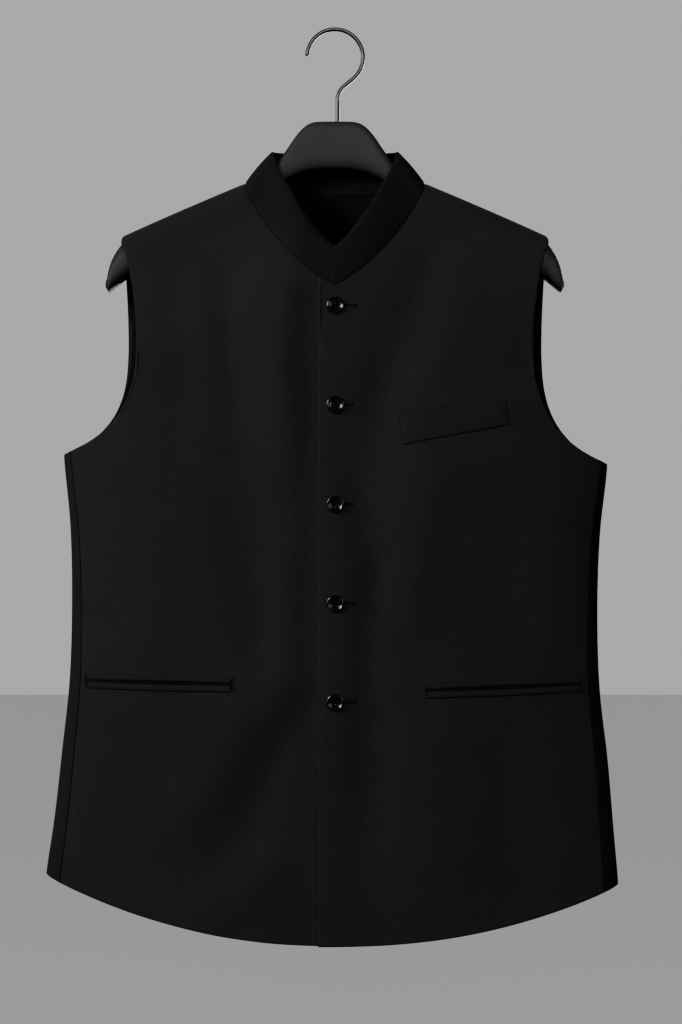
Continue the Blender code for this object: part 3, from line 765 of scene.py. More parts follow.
def wool(name, dark, light):
    """Matt wool: twill bump, a narrow spread of blacks, and a faint sheen."""
    made, tree, shader = finish(name)
    weave = joined(tree, "ShaderNodeGroup", {"node_tree": TWILL}, Pitch=TWILL_PITCH, Fuzz=0.6)
    colour = ramp(tree, weave.outputs["Tone"], (0.34, dark), (0.66, light))
    # Painted shade: the colour is darkened where the mesh marks a seam, as little light gets in
    # there.
    lit = maths(tree, "SUBTRACT", 1.0, times(tree, marked(tree, "painted_seam_shade"), 0.93))
    shaded = joined(tree, "ShaderNodeVectorMath", {"operation": "SCALE"}, Vector=colour, Scale=lit)
    # The turned hem and the facing end in a faint pressed step.
    step = mapped(tree, marked(tree, "from_hem"), 0.0045, 0.0065, 3.0, 0.0, "SMOOTHSTEP")
    height = plus(tree, weave.outputs["Height"], step)
    bump = joined(tree, "ShaderNodeBump", Height=height, Strength=0.55, Distance=0.00016)
    plug(tree, shader, Base_Color=shaded.outputs["Vector"], Normal=bump.outputs["Normal"])
    plug(tree, shader, Roughness=0.86, Specular_IOR_Level=0.22)
    plug(tree, shader, Sheen_Weight=0.06, Sheen_Roughness=0.45, Sheen_Tint=(0.75, 0.78, 0.82, 1))
    return made


BLACK_WOOL = wool("black_wool", (0.0042, 0.0044, 0.0042), (0.0104, 0.0107, 0.0100))
print("wool", BLACK_WOOL.name)

# %% [markdown]
# ## Materials: buttons, thread, hanger and hook
#
# The buttons are polished, so they carry a thin clear coat. Thread is finer than
# the cloth and about as dull. The hanger is moulded with a fine spark texture, and
# the hook is lacquered wire with a slightly uneven coat.


# %% Hard finishes
def moulded(name, dark, light, rough, grain, depth, coat=0.0, shine=0.5):
    """A moulded finish: noise in tone and roughness, and a fine grain bump."""
    made, tree, shader = finish(name)
    solid = joined(tree, "ShaderNodeTexCoord").outputs["Object"]
    fine, wide = noise(tree, solid, grain, 3.0), noise(tree, solid, 18.0, 4.0)
    colour = ramp(tree, wide, (0.35, dark), (0.65, light))
    worn = mapped(tree, wide, 0.3, 0.7, rough - 0.06, rough + 0.06)
    bump = joined(tree, "ShaderNodeBump", Height=fine, Strength=0.5, Distance=depth)
    plug(tree, shader, Base_Color=colour, Roughness=worn, Normal=bump.outputs["Normal"])
    plug(tree, shader, Specular_IOR_Level=shine, Coat_Weight=coat, Coat_Roughness=0.06)
    return made


BUTTON_BLACK = moulded(
    "button_black", (0.004, 0.004, 0.0045), (0.008, 0.008, 0.009), 0.20, 900.0, 0.00002, coat=0.6
)
HANGER_SLATE = moulded(
    "hanger_slate", (0.0165, 0.0156, 0.0200), (0.0205, 0.0195, 0.0250),
    0.60, 1400.0, 0.00010, shine=0.25,
)
HOOK_LACQUER = moulded(
    "hook_lacquer", (0.006, 0.006, 0.006), (0.012, 0.012, 0.012), 0.32, 300.0, 0.00006, coat=0.3
)
THREAD_BLACK = moulded(
    "thread_black", (0.0010, 0.0010, 0.0010), (0.0026, 0.0026, 0.0026),
    0.80, 2400.0, 0.00005, shine=0.1,
)
print("finishes", len(bpy.data.materials))

# %% [markdown]
# ## The four panels
#
# The wearer's left front laps over the right one. Where they lap, the right
# front steps in by a wall and a hair's gap and returns to the form beyond it.


# %% Piece helpers
def girth_uv(net):
    """UV in metres: girth from the centre front at chest level, and cloth length."""
    angle = np.linspace(0, math.pi, 600)
    level = form(angle, np.full_like(angle, 0.30))
    around = net[..., 0]
    across = np.sign(around) * np.interp(np.abs(around), angle, lengths(level))
    return np.stack([across, -net[..., 1]], axis=-1)


def add_piece(name, mesh, finish_, slot, *nodes):
    """An object for the mesh that rides with the jacket and stands for the nodes."""
    made = linked(name, mesh)
    mesh.materials.append(finish_)
    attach(made, "root")
    if nodes:
        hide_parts(*nodes)
    return made


# %% Fronts
STEP_START, STEP_RUN = 0.004, 0.050
LOOSE, LOOSE_TOP, LOOSE_FALL = 0.0020, -0.68, 0.17
LOOSE_END, LOOSE_RUN = 0.030, 0.046
SHOULDER_SHADE = 0.7


def seams(net, sides):
    """1 along sewn edges, for the round roll and painted seam shade: neckline, seam columns as
    given, and less on the shoulder.
    """
    sewn = np.zeros(net.shape[:2])
    sewn[-1, : NECK_COLUMNS + 1] = 1
    sewn[-1, NECK_COLUMNS:] = SHOULDER_SHADE
    for column, last in sides:
        sewn[1:last, column] = 1
    return sewn


def front_points(net, under):
    """Creased front; the under one steps in by a wall and a gap beside the lap."""
    points, normals = sheet_point(net[..., 0], net[..., 1])
    x, z = points[..., :1], points[..., 2:]
    if under:
        step = 1 - ease((-x - LAP - STEP_START) / STEP_RUN)
        return points - normals * step * (WALL + GAP), normals
    # Below the last button the free edge stands off the under front a little.
    loose = ease((LOOSE_TOP - z) / LOOSE_FALL) * ease((LOOSE_END - x) / LOOSE_RUN)
    return points + normals * LOOSE * loose, normals


def panel(name, net, points, normals, sides):
    """A front or a back from its net, with its seams marked."""
    from_hem, sewn = net[:1, :, 1] - net[..., 1], seams(net, sides)
    mesh = cloth_mesh(name + "_cloth", points, normals, WALL, girth_uv(net), sewn, from_hem)
    piece = add_piece(name + "_panel", mesh, BLACK_WOOL, "wool", name)
    return piece


for name, side, edge in (("front_left", 1, -LAP), ("front_right", -1, LAP)):
    net = front_net(side, edge)
    panel(name, net, *front_points(net, side < 0), [(-1, SIDE_ROWS)])

# %% Backs
backs = []
for name, side in (("back_left", 1), ("back_right", -1)):
    net = back_net(side)
    points, normals = sheet_point(net[..., 0], net[..., 1])
    # Pressed a hair past the middle, so that no light comes through the seam.
    points[..., 0] -= side * 0.0002 * ease(1 - np.abs(points[..., 0]) / 0.012)
    backs.append(panel(name, net, points, normals, [(-1, SIDE_ROWS), (0, -1)]))

# %% [markdown]
# ## The stand-up collar
#
# The collar is one stiffened band. Its foot follows the neckline and its top
# edge is a smaller, higher ring, so it leans in as it climbs. It starts under
# the lap, runs round the back and ends over the lap with a rounded corner.

# %% Collar
COLLAR_WALL, COLLAR_BULGE = 0.0026, 0.0012
COLLAR_TOP_HALF, COLLAR_TOP_HEIGHT, COLLAR_TOP_FRONT = 0.061, -0.117, 0.0975
COLLAR_TOP_POWER, COLLAR_TOP_BACK_POWER = 1.22, 2.3
COLLAR_FORE, COLLAR_AFT = 0.042, 0.0165
COLLAR_CORNER, COLLAR_UNDER, COLLAR_OVER = 0.010, 0.016, 0.0025
COLLAR_COLUMNS, COLLAR_ROWS = 300, 18
COLLAR_SINK, COLLAR_LIP, COLLAR_LIP_RUN = 0.0006, 0.0050, 0.016
COLLAR_SOFT, COLLAR_STEP_RUN = 0.0018, 0.040
FAR_FROM_HEM = 0.5


def collar_rings(turns):
    """Foot and top edge of the collar, and the panels' normals at the foot.

    Both are superellipses: a turn runs from -pi to pi with 0 at the centre front.
    """
    behind = np.abs(turns) > math.pi / 2
    quarter = np.where(behind, np.sign(turns) * (math.pi - np.abs(turns)), turns)
    front_x, front_z = neckline(quarter)
    back_x, back_z = neckline(quarter, back=True)
    places = np.where(behind[:, None], place(back_x, back_z, back=True), place(front_x, front_z))
    places[:, 1] = np.maximum(places[:, 1], SEAM)
    foot, normals = sheet_point(places[:, 0], places[:, 1])
    power = np.where(behind, COLLAR_TOP_BACK_POWER, COLLAR_TOP_POWER)
    sine, cosine = np.abs(np.sin(quarter)), np.abs(np.cos(quarter))
    x = COLLAR_TOP_HALF * np.sign(quarter) * sine ** (2 / power)
    z = COLLAR_TOP_HEIGHT - np.where(behind, 0, COLLAR_TOP_FRONT * cosine ** (2 / power))
    y = np.where(behind, COLLAR_AFT, -COLLAR_FORE) * cosine ** np.where(behind, 0.8, 1.0)
    return foot, np.stack([x, y, z], axis=-1), normals


def collar_band():
    """Straight lines from foot to top, bowed out, the over end's corner rounded."""
    last = turn_at(-COLLAR_OVER) - 2 * math.pi
    path = np.linspace(turn_at(COLLAR_UNDER), last, COLLAR_COLUMNS + 1)
    turns = np.where(path < -math.pi, path + 2 * math.pi, path)
    foot, top, panel_normals = collar_rings(turns)
    height = np.linalg.norm(top - foot, axis=1)
    foot = foot - (top - foot) * (COLLAR_SINK / height)[:, None]
    past_end = np.clip(foot[:, 0] + COLLAR_OVER, 0, COLLAR_CORNER)
    corner = COLLAR_CORNER - np.sqrt(COLLAR_CORNER**2 - (COLLAR_CORNER - past_end) ** 2)
    reach = np.where(path < -1.5 * math.pi, 1 - corner / height, 1.0)
    share = np.linspace(0, 1, COLLAR_ROWS + 1)[:, None, None] * reach[None, :, None]
    band = foot + (top - foot) * share
    # The over end is cut in a lip: it leans out most at two thirds of the height.
    lip = ease(1 - (foot[:, 0] + COLLAR_OVER) / COLLAR_LIP_RUN)
    lip = np.where(path < -1.5 * math.pi, lip, 0)
    band[..., 0] -= COLLAR_LIP * lip * np.sin(math.pi * share[..., 0] ** 1.6)
    own = unit(np.cross(np.gradient(band, axis=0), np.gradient(band, axis=1)))
    blend = ease(share * 4)
    normals = unit(own * blend + panel_normals * (1 - blend))
    band = band + normals * COLLAR_BULGE * 4 * share * (1 - share)
    inset = 1 - ease((-foot[:, 0] - LAP - STEP_START) / COLLAR_STEP_RUN)
    under = np.where(path > -math.pi / 2, inset, 0)[None, :, None]
    band = band - normals * under * (COLLAR_WALL + GAP)
    run = np.broadcast_arrays(lengths(foot)[None, :], share[..., 0] * height[None, :])
    flat = np.stack(run, axis=-1)
    return band, normals, flat


band, band_normals, band_flat = collar_band()
far_hem = np.full(band.shape[:2], FAR_FROM_HEM)
sewn = np.zeros(band.shape[:2])
sewn[0] = 1
# The over end lies close on the band beneath; its rim gets painted shade for the little light
# between them.
sewn[1:-1, -1] = 0.9
collar_mesh = cloth_mesh(
    "collar_cloth", band, band_normals, COLLAR_WALL, band_flat, sewn, far_hem, soft=COLLAR_SOFT
)
collar = add_piece("collar_band", collar_mesh, BLACK_WOOL, "wool", "collar")

# %% [markdown]
# ## Pockets
#
# The breast pocket is a slanted welt and each hip pocket has two lips with a
# slit between. They are narrow folded strips, so they swell in the middle and
# roll at the edges. The dark seam round each one is painted shade, a mark in
# the material.

# %% Welt and lips
WELT_WALL, WELT_LIFT, WELT_CROWN = 0.0018, 0.0012, 0.0008
WELT_CORNERS = table(
    "across height",
    (0.0605, -0.3752),
    (0.1629, -0.3609),
    (0.1677, -0.3867),
    (0.0643, -0.4058),
)
JETS = {
    "right": dict(outer=-0.2423, inner=-0.0980, outer_height=-0.6334, inner_height=-0.6350),
    "left": dict(outer=0.2384, inner=0.0858, outer_height=-0.6368, inner_height=-0.6409),
}
JET_WIDE, JET_NARROW, JET_SLIT, JET_GAPE = 0.0075, 0.0058, 0.0012, 0.0008
# How dark the painted seam shade round the pockets is, and how far in it reaches.
SEAM_SHADE, SEAM_REACH = 0.85, 0.0017


def patch_mesh(name, x, z, crown):
    """A strip on a front: lifted by a gap, thicker in the middle by a cosine crown."""
    points, normals = on_front(x, z)
    rows, columns = x.shape
    s = np.linspace(0, 1, columns)[None, :]
    t = np.linspace(0, 1, rows)[:, None]
    swelling = crown * np.sin(math.pi * t) ** 0.7 * ease(np.minimum(s, 1 - s) * 12)
    outer = points + normals * (WELT_LIFT + swelling)[..., None]
    flat = np.stack([x, z], axis=-1)
    far_hem = np.full((rows, columns), FAR_FROM_HEM)
    # Painted seam shade reaches more than a millimetre in from the edge.
    from_end = np.minimum(s, 1 - s) * np.ptp(x)
    from_edge = np.minimum(from_end, np.minimum(t, 1 - t) * np.ptp(z[:, 0]))
    sewn = 1 - SEAM_SHADE * ease(from_edge / SEAM_REACH)
    mesh = cloth_mesh(name + "_cloth", outer, normals, WELT_WALL, flat, sewn, far_hem, inward=True)
    return mesh, outer


def merged(mesh, other):
    """The first mesh with the second one joined to it, UV and marks kept."""
    pair = [linked(m.name, m) for m in (mesh, other)]
    with bpy.context.temp_override(active_object=pair[0], selected_editable_objects=pair):
        bpy.ops.object.join()
    bpy.data.objects.remove(pair[0])
    return mesh


def shares(columns, rows):
    """Shares from 0 to 1 along a strip and up it."""
    return np.linspace(0, 1, columns + 1)[None, :], np.linspace(0, 1, rows + 1)[:, None]


def slit_line(row, t):
    """Places at shares of a hip pocket's slit, from its outer end."""
    x = row["outer"] + (row["inner"] - row["outer"]) * t
    return x, row["outer_height"] + (row["inner_height"] - row["outer_height"]) * t


s, t = shares(80, 20)
weights = ((1 - s) * (1 - t), s * (1 - t), s * t, (1 - s) * t)
welt_x = sum(w * c for w, c in zip(weights, WELT_CORNERS["across"]))
welt_z = sum(w * c for w, c in zip(weights, WELT_CORNERS["height"]))
welt_mesh, welt_net = patch_mesh("breast_welt", welt_x, welt_z, WELT_CROWN)
welt = add_piece("breast_welt_strip", welt_mesh, BLACK_WOOL, "wool", "breast_welt")

s, t = shares(120, 10)
fullness = np.sqrt(np.sin(math.pi * (0.15 + 0.8 * (1 - s))))
for side, row in JETS.items():
    x, slit = slit_line(row, s)
    x = x + 0 * t
    depth = JET_NARROW + (JET_WIDE - JET_NARROW) * fullness
    # The slit gapes a little in the middle, where nothing holds the lips together.
    gape = JET_SLIT / 2 + JET_GAPE * np.sin(math.pi * s) * (1 - t)
    upper, upper_net = patch_mesh(f"jet_{side}_upper", x, slit + gape + depth * t, WELT_CROWN)
    lower, lower_net = patch_mesh(f"jet_{side}_lower", x, slit - gape - depth * t, WELT_CROWN)
    # Both lips are cut as one strip, then slit and turned.
    both = merged(upper, lower)
    nodes = (f"jet_{side}_upper", f"jet_{side}_lower")
    lips = add_piece(f"jet_{side}_lips", both, BLACK_WOOL, "wool", *nodes)

# %% [markdown]
# ## Buttons
#
# Each button is turned: a dished middle inside a raised rounded rim, with four
# holes. Its face is one height function over a disc, so the holes are simply
# places where the height drops, and no cutting is needed. Crossed threads pass
# through the holes and wind into a short shank.

# %% Tubes along a path
def tube_mesh(name, path, radii, upward, sides=10):
    """A circle carried along a path: its plane turns with the path's direction.

    upward is a direction that is never along the path; the circle's own axes are
    the cross products of the two.
    """
    path = np.asarray(path, float)
    radii = np.broadcast_to(np.asarray(radii, float), len(path))
    run = unit(np.gradient(path, axis=0))
    aside = unit(np.cross(run, upward))
    over = np.cross(aside, run)
    angle = np.linspace(0, 2 * math.pi, sides, endpoint=False)[None, :, None]
    circle = aside[:, None] * np.cos(angle) + over[:, None] * np.sin(angle)
    rings = path[:, None] + radii[:, None, None] * circle
    return lofted(name, rings, first=1)


def rounded_ends(path, radius, steps=5):
    """The path with extra points at both ends where the radius closes in a dome."""
    path = np.asarray(path, float)
    first, last = unit(path[0] - path[1]), unit(path[-1] - path[-2])
    angle = np.linspace(0, 0.48 * math.pi, steps)[1:, None]
    before = (path[0] + first * radius * np.sin(angle))[::-1]
    after = path[-1] + last * radius * np.sin(angle)
    cap = radius * np.cos(angle[:, 0])
    radii = np.concatenate([cap[::-1], np.full(len(path), radius), cap])
    return np.concatenate([before, path, after]), radii


def one_mesh(name, meshes):
    """Several meshes as one, their corner numbers shifted past each other."""
    points, faces, start = [], [], 0
    for mesh in meshes:
        points += [tuple(v.co) for v in mesh.vertices]
        faces += [[start + i for i in p.vertices] for p in mesh.polygons]
        start += len(mesh.vertices)
        bpy.data.meshes.remove(mesh)
    return as_mesh(name, points, faces)


# %% Button shape
BUTTON_TOP, BUTTON_STEP = -0.2726, 0.0949
BUTTON_RADIUS, BUTTON_HOLE, BUTTON_SHANK = 0.0085, 0.0016, 0.0006
BUTTON_PROFILE = table(
    "radius height",
    (0.00, 0.00172),
    (0.30, 0.00176),
    (0.52, 0.00192),
    (0.64, 0.00226),
    (0.74, 0.00286),
    (0.82, 0.00314),
    (0.90, 0.00306),
    (0.96, 0.00266),
    (1.00, 0.00200),
)
BUTTON_CELLS = 84


def disc(cells):
    """A square grid squeezed to a unit disc: x sqrt(1 - y^2/2), y sqrt(1 - x^2/2)."""
    u, v = np.meshgrid(np.linspace(-1, 1, cells + 1), np.linspace(-1, 1, cells + 1))
    return u * np.sqrt(1 - v**2 / 2), v * np.sqrt(1 - u**2 / 2)


def button_face(x, y):
    """Height over the disc: the turned profile, less a round pit at each hole."""
    r = np.sqrt(x**2 + y**2)
    height = through(r, BUTTON_PROFILE["radius"], BUTTON_PROFILE["height"])
    hole = BUTTON_HOLE / BUTTON_RADIUS
    for dx in (-1, 1):
        for dy in (-1, 1):
            away = np.hypot(x - dx * hole, y - dy * hole) / (hole * 0.58)
            height = height - 0.0015 * ease((1.25 - away) / 0.45)
    return height


def button_points():
    """Face and back of a button: the same disc twice, the back a shallow bowl."""
    x, y = disc(BUTTON_CELLS)
    face = np.stack([x * BUTTON_RADIUS, y * BUTTON_RADIUS, button_face(x, y)], axis=-1)
    r = np.sqrt(x**2 + y**2)
    bowl = 0.0020 * ease((r - 0.62) / 0.38) ** 1.4 - 1e-5
    back = np.stack([x * BUTTON_RADIUS, y * BUTTON_RADIUS, bowl], axis=-1)
    return face, back


def closed_pair(name, face, back):
    """A face and a back with the same outline joined at the rim."""
    index = np.arange(face[..., 0].size).reshape(face.shape[:2])
    rim = rim_of(index)
    faces = shell(index, np.stack([rim, rim + index.size]))
    return as_mesh(name, np.concatenate([face, back]), faces)


# %% Threads and buttonholes
def bow(start, end, rise, count=11):
    """A thread's arc: a straight line lifted by a sine, its ends sunk a little."""
    t = np.linspace(0, 1, count)[:, None]
    up = np.array([0, 0, 1.0])
    lift = rise * np.sin(math.pi * t) ** 0.6 - 0.0008 * (2 * t - 1) ** 6
    return start + (end - start) * t + up * lift


def button_threads():
    """Two strands on each diagonal between the holes, and a wound shank below."""
    meshes = []
    low = 0.00150
    for corner in (1, -1):
        for shift in (-0.00022, 0.00022):
            ends = np.array([[-1, -corner, 0], [1, corner, 0]]) * BUTTON_HOLE
            side = np.array([corner * 1.0, -1.0, 0]) * shift
            start, end = ends + side + (0, 0, low)
            rise = 0.00070 if corner > 0 else 0.00042
            meshes.append(tube_mesh("strand", bow(start, end, rise), 0.00026, (0, 0, 1), sides=8))
    turns = np.linspace(0, 2 * math.pi * 5, 90)
    winding = [0.0016 * np.cos(turns), 0.0016 * np.sin(turns), -0.0007 + turns * 0.00003]
    coil = np.stack(winding, axis=1)
    meshes.append(tube_mesh("shank", coil, 0.0003, (0, 0, 1), sides=6))
    return one_mesh("button_threads", meshes)


def seated(mesh, point, across, up, normal):
    """The mesh's own points carried to a place with three given axes."""
    count = len(mesh.vertices)
    flat = np.empty(count * 3, np.float32)
    mesh.vertices.foreach_get("co", flat)
    moved = point + flat.reshape(-1, 3) @ np.stack([across, up, normal])
    mesh.vertices.foreach_set("co", moved.astype(np.float32).ravel())
    mesh.update()
    return mesh


def frame_at(x, z):
    """Point on the front with axes across, up and out."""
    point, normal = on_front(np.array(x), np.array(z))
    across = unit(np.cross([0, 0, 1.0], normal) * -1)
    across = across if across[0] > 0 else -across
    return point, across, np.cross(normal, across), normal


def buttonhole(x_end, z):
    """A stitched slit: a stadium ring of purl stitches and a bar across its end."""
    start, half = 0.0040, 0.00085
    straight = np.linspace(start, x_end, 120)
    bend = np.linspace(0, math.pi, 15)[1:-1]
    x = np.concatenate([straight, x_end + half * np.sin(bend), straight[::-1]])
    up = np.concatenate([np.full(120, half), half * np.cos(bend), np.full(120, -half)])
    points, normals = on_front(x, z + up)
    stitch = np.abs(np.sin(np.arange(len(x)) * 0.62))
    path = points + normals * 0.00012
    ring = tube_mesh("purl", path, 0.00040 + 0.00016 * stitch, unit(normals.mean(axis=0)), sides=8)
    bar_z = np.linspace(-0.0016, 0.0016, 25)
    bar_points, bar_normals = on_front(np.full(25, x_end + half + 0.0004), z + bar_z)
    bar_path, bar_radii = rounded_ends(bar_points + bar_normals * 0.00015, 0.00055)
    bar = tube_mesh("bar", bar_path, bar_radii, unit(bar_normals.mean(axis=0)), sides=8)
    return [ring, bar]


HOLE_ENDS = (0.0195, 0.0160, 0.0155, 0.0175, 0.0190)
BUTTON_TURNS = (8, -14, 20, -6, 12)
BUTTON_ASIDE = 0.0005
hole_meshes, button_pieces = [], []
for number, (hole_end, degrees) in enumerate(zip(HOLE_ENDS, BUTTON_TURNS)):
    z = BUTTON_TOP - number * BUTTON_STEP
    point, across, up, normal = frame_at(BUTTON_ASIDE, z)
    turn = math.radians(degrees)
    own_across = across * math.cos(turn) + up * math.sin(turn)
    own_up = up * math.cos(turn) - across * math.sin(turn)
    seat = (point + normal * BUTTON_SHANK, own_across, own_up, normal)
    name = f"button_{number + 1}"
    mesh = seated(closed_pair(f"button_disc_{number + 1}", *button_points()), *seat)
    button_pieces.append(add_piece(name + "_disc", mesh, BUTTON_BLACK, "button", name))
    add_piece(name + "_threads", seated(button_threads(), *seat), THREAD_BLACK, "button")
    hole_meshes += buttonhole(hole_end, z)
add_piece("buttonholes", one_mesh("buttonhole_stitches", hole_meshes), THREAD_BLACK, "wool")
print("buttons", len(button_pieces), "points each", (BUTTON_CELLS + 1) ** 2 * 2)

# %% [markdown]
# ## Pocket mouths and tacks
#
# Each slit shows a sliver of black lining in shade, which is a thin black tube
# here: the lining and painted shade in one. A bar of close stitches at each end
# of a hip pocket holds the lips.


# %% Bar tacks
def bar_tack(x0, z0, x1, z1, lift, thick=0.00045):
    """A rounded bar of thread between two places on the front, ribbed by a sine."""
    count = max(12, int(math.hypot(x1 - x0, z1 - z0) / 0.00025))
    t = np.linspace(0, 1, count)
    points, normals = on_front(x0 + (x1 - x0) * t, z0 + (z1 - z0) * t)
    path, radii = rounded_ends(points + normals * lift, thick)
    radii = radii * (1 + 0.16 * np.sin(np.arange(len(radii)) * 1.9))
    return tube_mesh("tack", path, radii, unit(normals.mean(axis=0)), sides=8)


def pocket_mouth(row):
    """Black lining and painted shade in the slit: a long tube, thickest in the middle by a sine.
    """
    t = np.linspace(0.012, 0.988, 121)
    points, normals = on_front(*slit_line(row, t))
    radii = JET_SLIT / 2 + JET_GAPE * np.sin(math.pi * t)
    path = points + normals * (0.0007 - radii / 2)[:, None]
    return tube_mesh("mouth", path, radii, unit(normals.mean(axis=0)), sides=10)


TACK_INSET, TACK_SHARE, TACK_LIFT = 0.0016, 0.7, 0.0021
tacks = [pocket_mouth(row) for row in JETS.values()]
for row in JETS.values():
    for end, height, reach in (
        (row["outer"], row["outer_height"], JET_WIDE),
        (row["inner"], row["inner_height"], JET_NARROW),
    ):
        inward = math.copysign(TACK_INSET, (row["outer"] + row["inner"]) / 2 - end)
        x, half = end + inward, reach * TACK_SHARE
        tacks.append(bar_tack(x, height - half, x, height + half, TACK_LIFT))
add_piece("pocket_tacks", one_mesh("pocket_tack_threads", tacks), THREAD_BLACK, "wool")
print("tacks", len(tacks))

# %% [markdown]
# ## Hanger and hook
#
# The hanger is a broad moulded one. It is lofted from cross sections that are
# rounded above, where the cloth lies, and flatter below. The hook is one wire,
# bent round a peg and back to its stem.

# %% Hanger
HANGER = table(
    "along top bottom half",
    (0.0000, -0.0885, -0.1350, 0.0090),
    (0.0150, -0.0887, -0.1355, 0.0090),
    (0.0230, -0.0900, -0.1365, 0.0090),
    (0.0300, -0.0940, -0.1382, 0.0090),
    (0.0380, -0.1025, -0.1410, 0.0090),
    (0.0460, -0.1140, -0.1450, 0.0090),
    (0.0540, -0.1255, -0.1498, 0.0090),
    (0.0650, -0.1400, -0.1570, 0.0088),
    (0.0800, -0.1565, -0.1700, 0.0084),
    (0.1000, -0.1625, -0.1830, 0.0095),
    (0.1250, -0.1680, -0.1975, 0.0130),
    (0.1500, -0.1790, -0.2130, 0.0155),
    (0.1750, -0.1900, -0.2270, 0.0165),
    (0.1950, -0.1995, -0.2370, 0.0175),
    (0.2060, -0.2065, -0.2435, 0.0178),
    (0.2130, -0.2150, -0.2490, 0.0175),
    (0.2180, -0.2245, -0.2530, 0.0165),
    (0.2210, -0.2345, -0.2550, 0.0140),
    (0.2222, -0.2420, -0.2530, 0.0100),
)
HANGER_STATIONS, HANGER_SIDES, HANGER_DOME = 220, 56, 0.0022


def hanger_mesh():
    """Superellipse sections through the stations of both arms, closed by domes."""
    share = np.linspace(-1, 1, 2 * HANGER_STATIONS + 1)
    order = np.arange(len(HANGER["along"]), dtype=float)
    at = np.abs(share) * order[-1]
    along, top, bottom, half = (through(at, order, HANGER[key]) for key in HANGER)
    x = np.sign(share) * along
    angle = np.linspace(0, 2 * math.pi, HANGER_SIDES, endpoint=False) + math.pi / HANGER_SIDES
    sine, cosine = np.sin(angle), np.cos(angle)
    across = np.sign(cosine) * np.abs(cosine) ** np.where(sine > 0, 1.0, 0.6)
    rise = np.sign(sine) * np.abs(sine) ** np.where(sine > 0, 1.0, 0.55)
    # The head is a flat plate with rounded corners, the arms are round above.
    plate = (1 - ease((along - 0.030) / 0.030))[:, None]
    across = plate * np.sign(cosine) * np.abs(cosine) ** 0.55 + (1 - plate) * across
    rise = plate * np.sign(sine) * np.abs(sine) ** 0.55 + (1 - plate) * rise
    middle, tall = ((top + bottom) / 2)[:, None], ((top - bottom) / 2)[:, None]
    rings = np.stack(
        [x[:, None] + 0 * across, half[:, None] * across, middle + tall * rise], axis=-1
    )
    tip = np.array([[0.35, 0.90], [0.60, 0.72], [0.78, 0.50], [0.88, 0.25]])

    def dome(ring, way):
        centre, reach = ring.mean(axis=0), way * HANGER_DOME
        sections = [centre + (ring - centre) * size + (reach * out, 0, 0) for out, size in tip]
        return np.array(sections)

    rings = np.concatenate([dome(rings[0], -1)[::-1], rings, dome(rings[-1], 1)])
    return lofted("hanger_moulding", rings)


add_piece("hanger_moulding", hanger_mesh(), HANGER_SLATE, "hanger", "hanger")
print("hanger", 2 * HANGER["along"][-1], "m wide")

# %% Hook
HOOK_RADIUS, WIRE, STEM, STEM_BEND = 0.0274, 0.0040, 0.0025, -0.068
HOOK_BEND_ANGLE, SOCKET_DEPTH = -48, 0.014


def hook_route():
    """A circle from the free end over the top, a cubic reverse bend, and the stem."""
    centre = -(HOOK_RADIUS - WIRE / 2)
    angle = np.radians(np.linspace(174, HOOK_BEND_ANGLE, 110))
    loop = np.stack([HOOK_RADIUS * np.cos(angle), centre + HOOK_RADIUS * np.sin(angle)], axis=1)
    way = np.array([math.sin(angle[-1]), -math.cos(angle[-1])])
    t = np.linspace(0, 1, 30)[1:, None]
    bend_foot, pull = np.array([STEM, STEM_BEND]), 0.012
    a, b, c, d = loop[-1], loop[-1] + way * pull, bend_foot + (0, pull), bend_foot
    bend = (1 - t) ** 3 * a + 3 * t * (1 - t) ** 2 * b + 3 * t * t * (1 - t) * c + t**3 * d
    down = np.linspace(STEM_BEND, HANGER["top"][0] - SOCKET_DEPTH + GAP, 12)[1:]
    stem = np.stack([np.full_like(down, STEM), down], axis=1)
    flat = np.concatenate([loop, bend, stem])
    return np.stack([flat[:, 0], np.zeros(len(flat)), flat[:, 1]], axis=1)


wire_path, wire_radii = rounded_ends(hook_route(), WIRE / 2, steps=7)
hook_mesh = tube_mesh("hook_wire", wire_path, wire_radii, (0, 1, 0), sides=28)
add_piece("hook_wire", hook_mesh, HOOK_LACQUER, "hook", "hook")
print("hook wire", round(float(lengths(wire_path)[-1]), 3), "m long")

# %% [markdown]
# ## Floor, light and camera
#
# The jacket hangs over a plain pale floor. Black cloth shows its shape only by
# soft light from one side, so a key and a side lamp stand on the left. A weaker
# lamp in front, a weak fill on the right and one behind keep the rest readable.

# %% Floor
FLOOR_HEIGHT, FLOOR_HALF = -1.9, 14.0
PALE = (0.80, 0.780, 0.762, 1)
ways = ((-1, -1), (1, -1), (1, 1), (-1, 1))
corners = [(x * FLOOR_HALF, y * FLOOR_HALF, FLOOR_HEIGHT) for x, y in ways]
floor_mesh = as_mesh("floor", corners, [(0, 1, 2, 3)])
floor = linked("floor", floor_mesh)
pale, tree, shader = finish("pale_floor")
plug(tree, shader, Base_Color=(0.50, 0.488, 0.476, 1), Roughness=0.8)
plug(tree, shader, Emission_Color=PALE, Emission_Strength=0.40)
floor_mesh.materials.append(pale)
# The floor is there to be seen: it throws no light back up at the black cloth.
floor.visible_diffuse = floor.visible_glossy = False

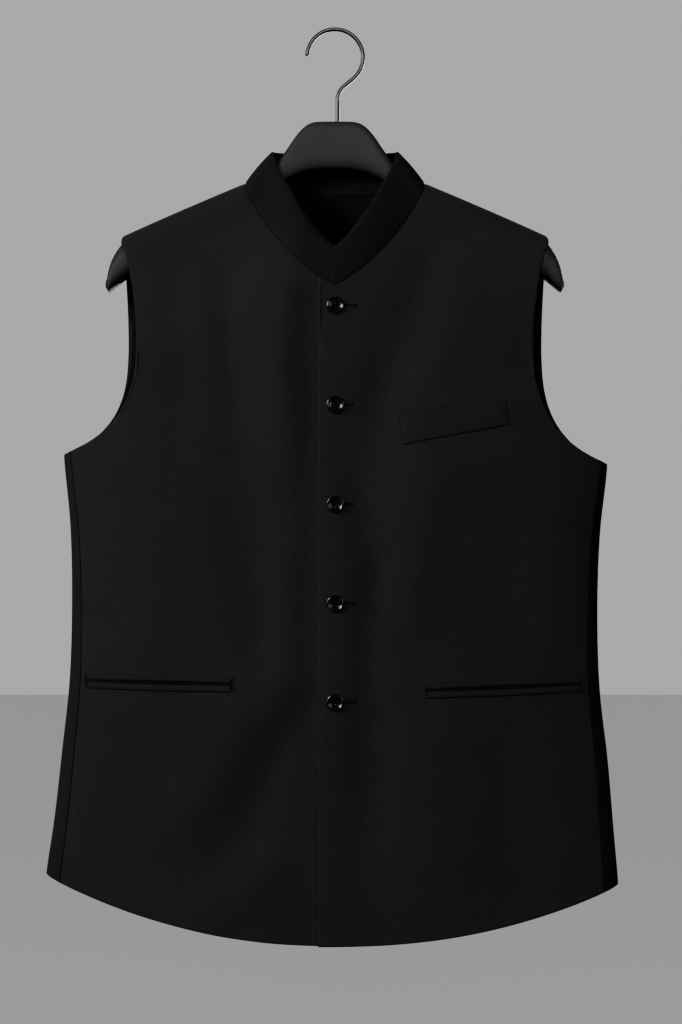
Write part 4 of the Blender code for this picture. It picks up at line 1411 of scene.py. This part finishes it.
# %% Lights and world
SEEN_ROOM, DIM_ROOM = 0.62, 0.02
world = bpy.data.worlds.new("studio")
bpy.context.scene.world = world
world.use_nodes = True
sky = world.node_tree
background = sky.nodes["Background"]
# The jacket is lit by a dim room, while the room itself looks pale.
seen = joined(sky, "ShaderNodeLightPath").outputs["Is Camera Ray"]
strength = plus(sky, times(sky, seen, SEEN_ROOM), DIM_ROOM)
plug(sky, background, Color=PALE, Strength=strength)


def lamp(name, place_, aim, size, power, colour):
    """A square area lamp turned so that it faces its aim."""
    light = bpy.data.lights.new(name, "AREA")
    light.shape, light.size, light.energy, light.color = "SQUARE", size, power, colour
    made = linked(name, light)
    made.location = place_
    made.rotation_euler = (Vector(aim) - Vector(place_)).to_track_quat("-Z", "Y").to_euler()
    return made


WARM = (1.0, 0.99, 0.975)
lamp("key", (-2.7, -2.5, 1.0), (0.05, 0, -0.45), 0.9, 72.0, WARM)
lamp("side", (-3.2, -0.9, 0.3), (0, 0, -0.45), 0.8, 36.0, WARM)
front = lamp("front", (0.0, -3.5, 1.1), (0.05, 0, -0.45), 1.0, 57.0, (1.0, 0.995, 0.985))
# The front lamp is kept off the collar, backs and buttons. This is set for
# the tone: with this lamp on them they come out too bright.
shaded = bpy.data.collections.new("out_of_front_lamp")
for piece in (collar, *backs, *button_pieces):
    shaded.objects.link(piece)
front.light_linking.receiver_collection = shaded
for held in shaded.collection_objects:
    held.light_linking.link_state = "EXCLUDE"
lamp("fill", (1.7, -2.3, -0.1), (0, 0, -0.5), 1.2, 9.0, (0.95, 0.97, 1.0))
lamp("back", (0.9, 2.8, -0.2), (0, 0, -0.5), 1.4, 120.0, (1.0, 1.0, 1.0))

# %% Camera
LENS, SENSOR, CAMERA_PLACE = 71.9, 36.0, (0.0059, -2.0, -0.470)
camera_data = bpy.data.cameras.new("camera")
camera_data.lens, camera_data.sensor_width = LENS, SENSOR
camera = linked("camera", camera_data)
camera.location = CAMERA_PLACE
camera.rotation_euler = (math.pi / 2, 0, 0)
bpy.context.scene.camera = camera
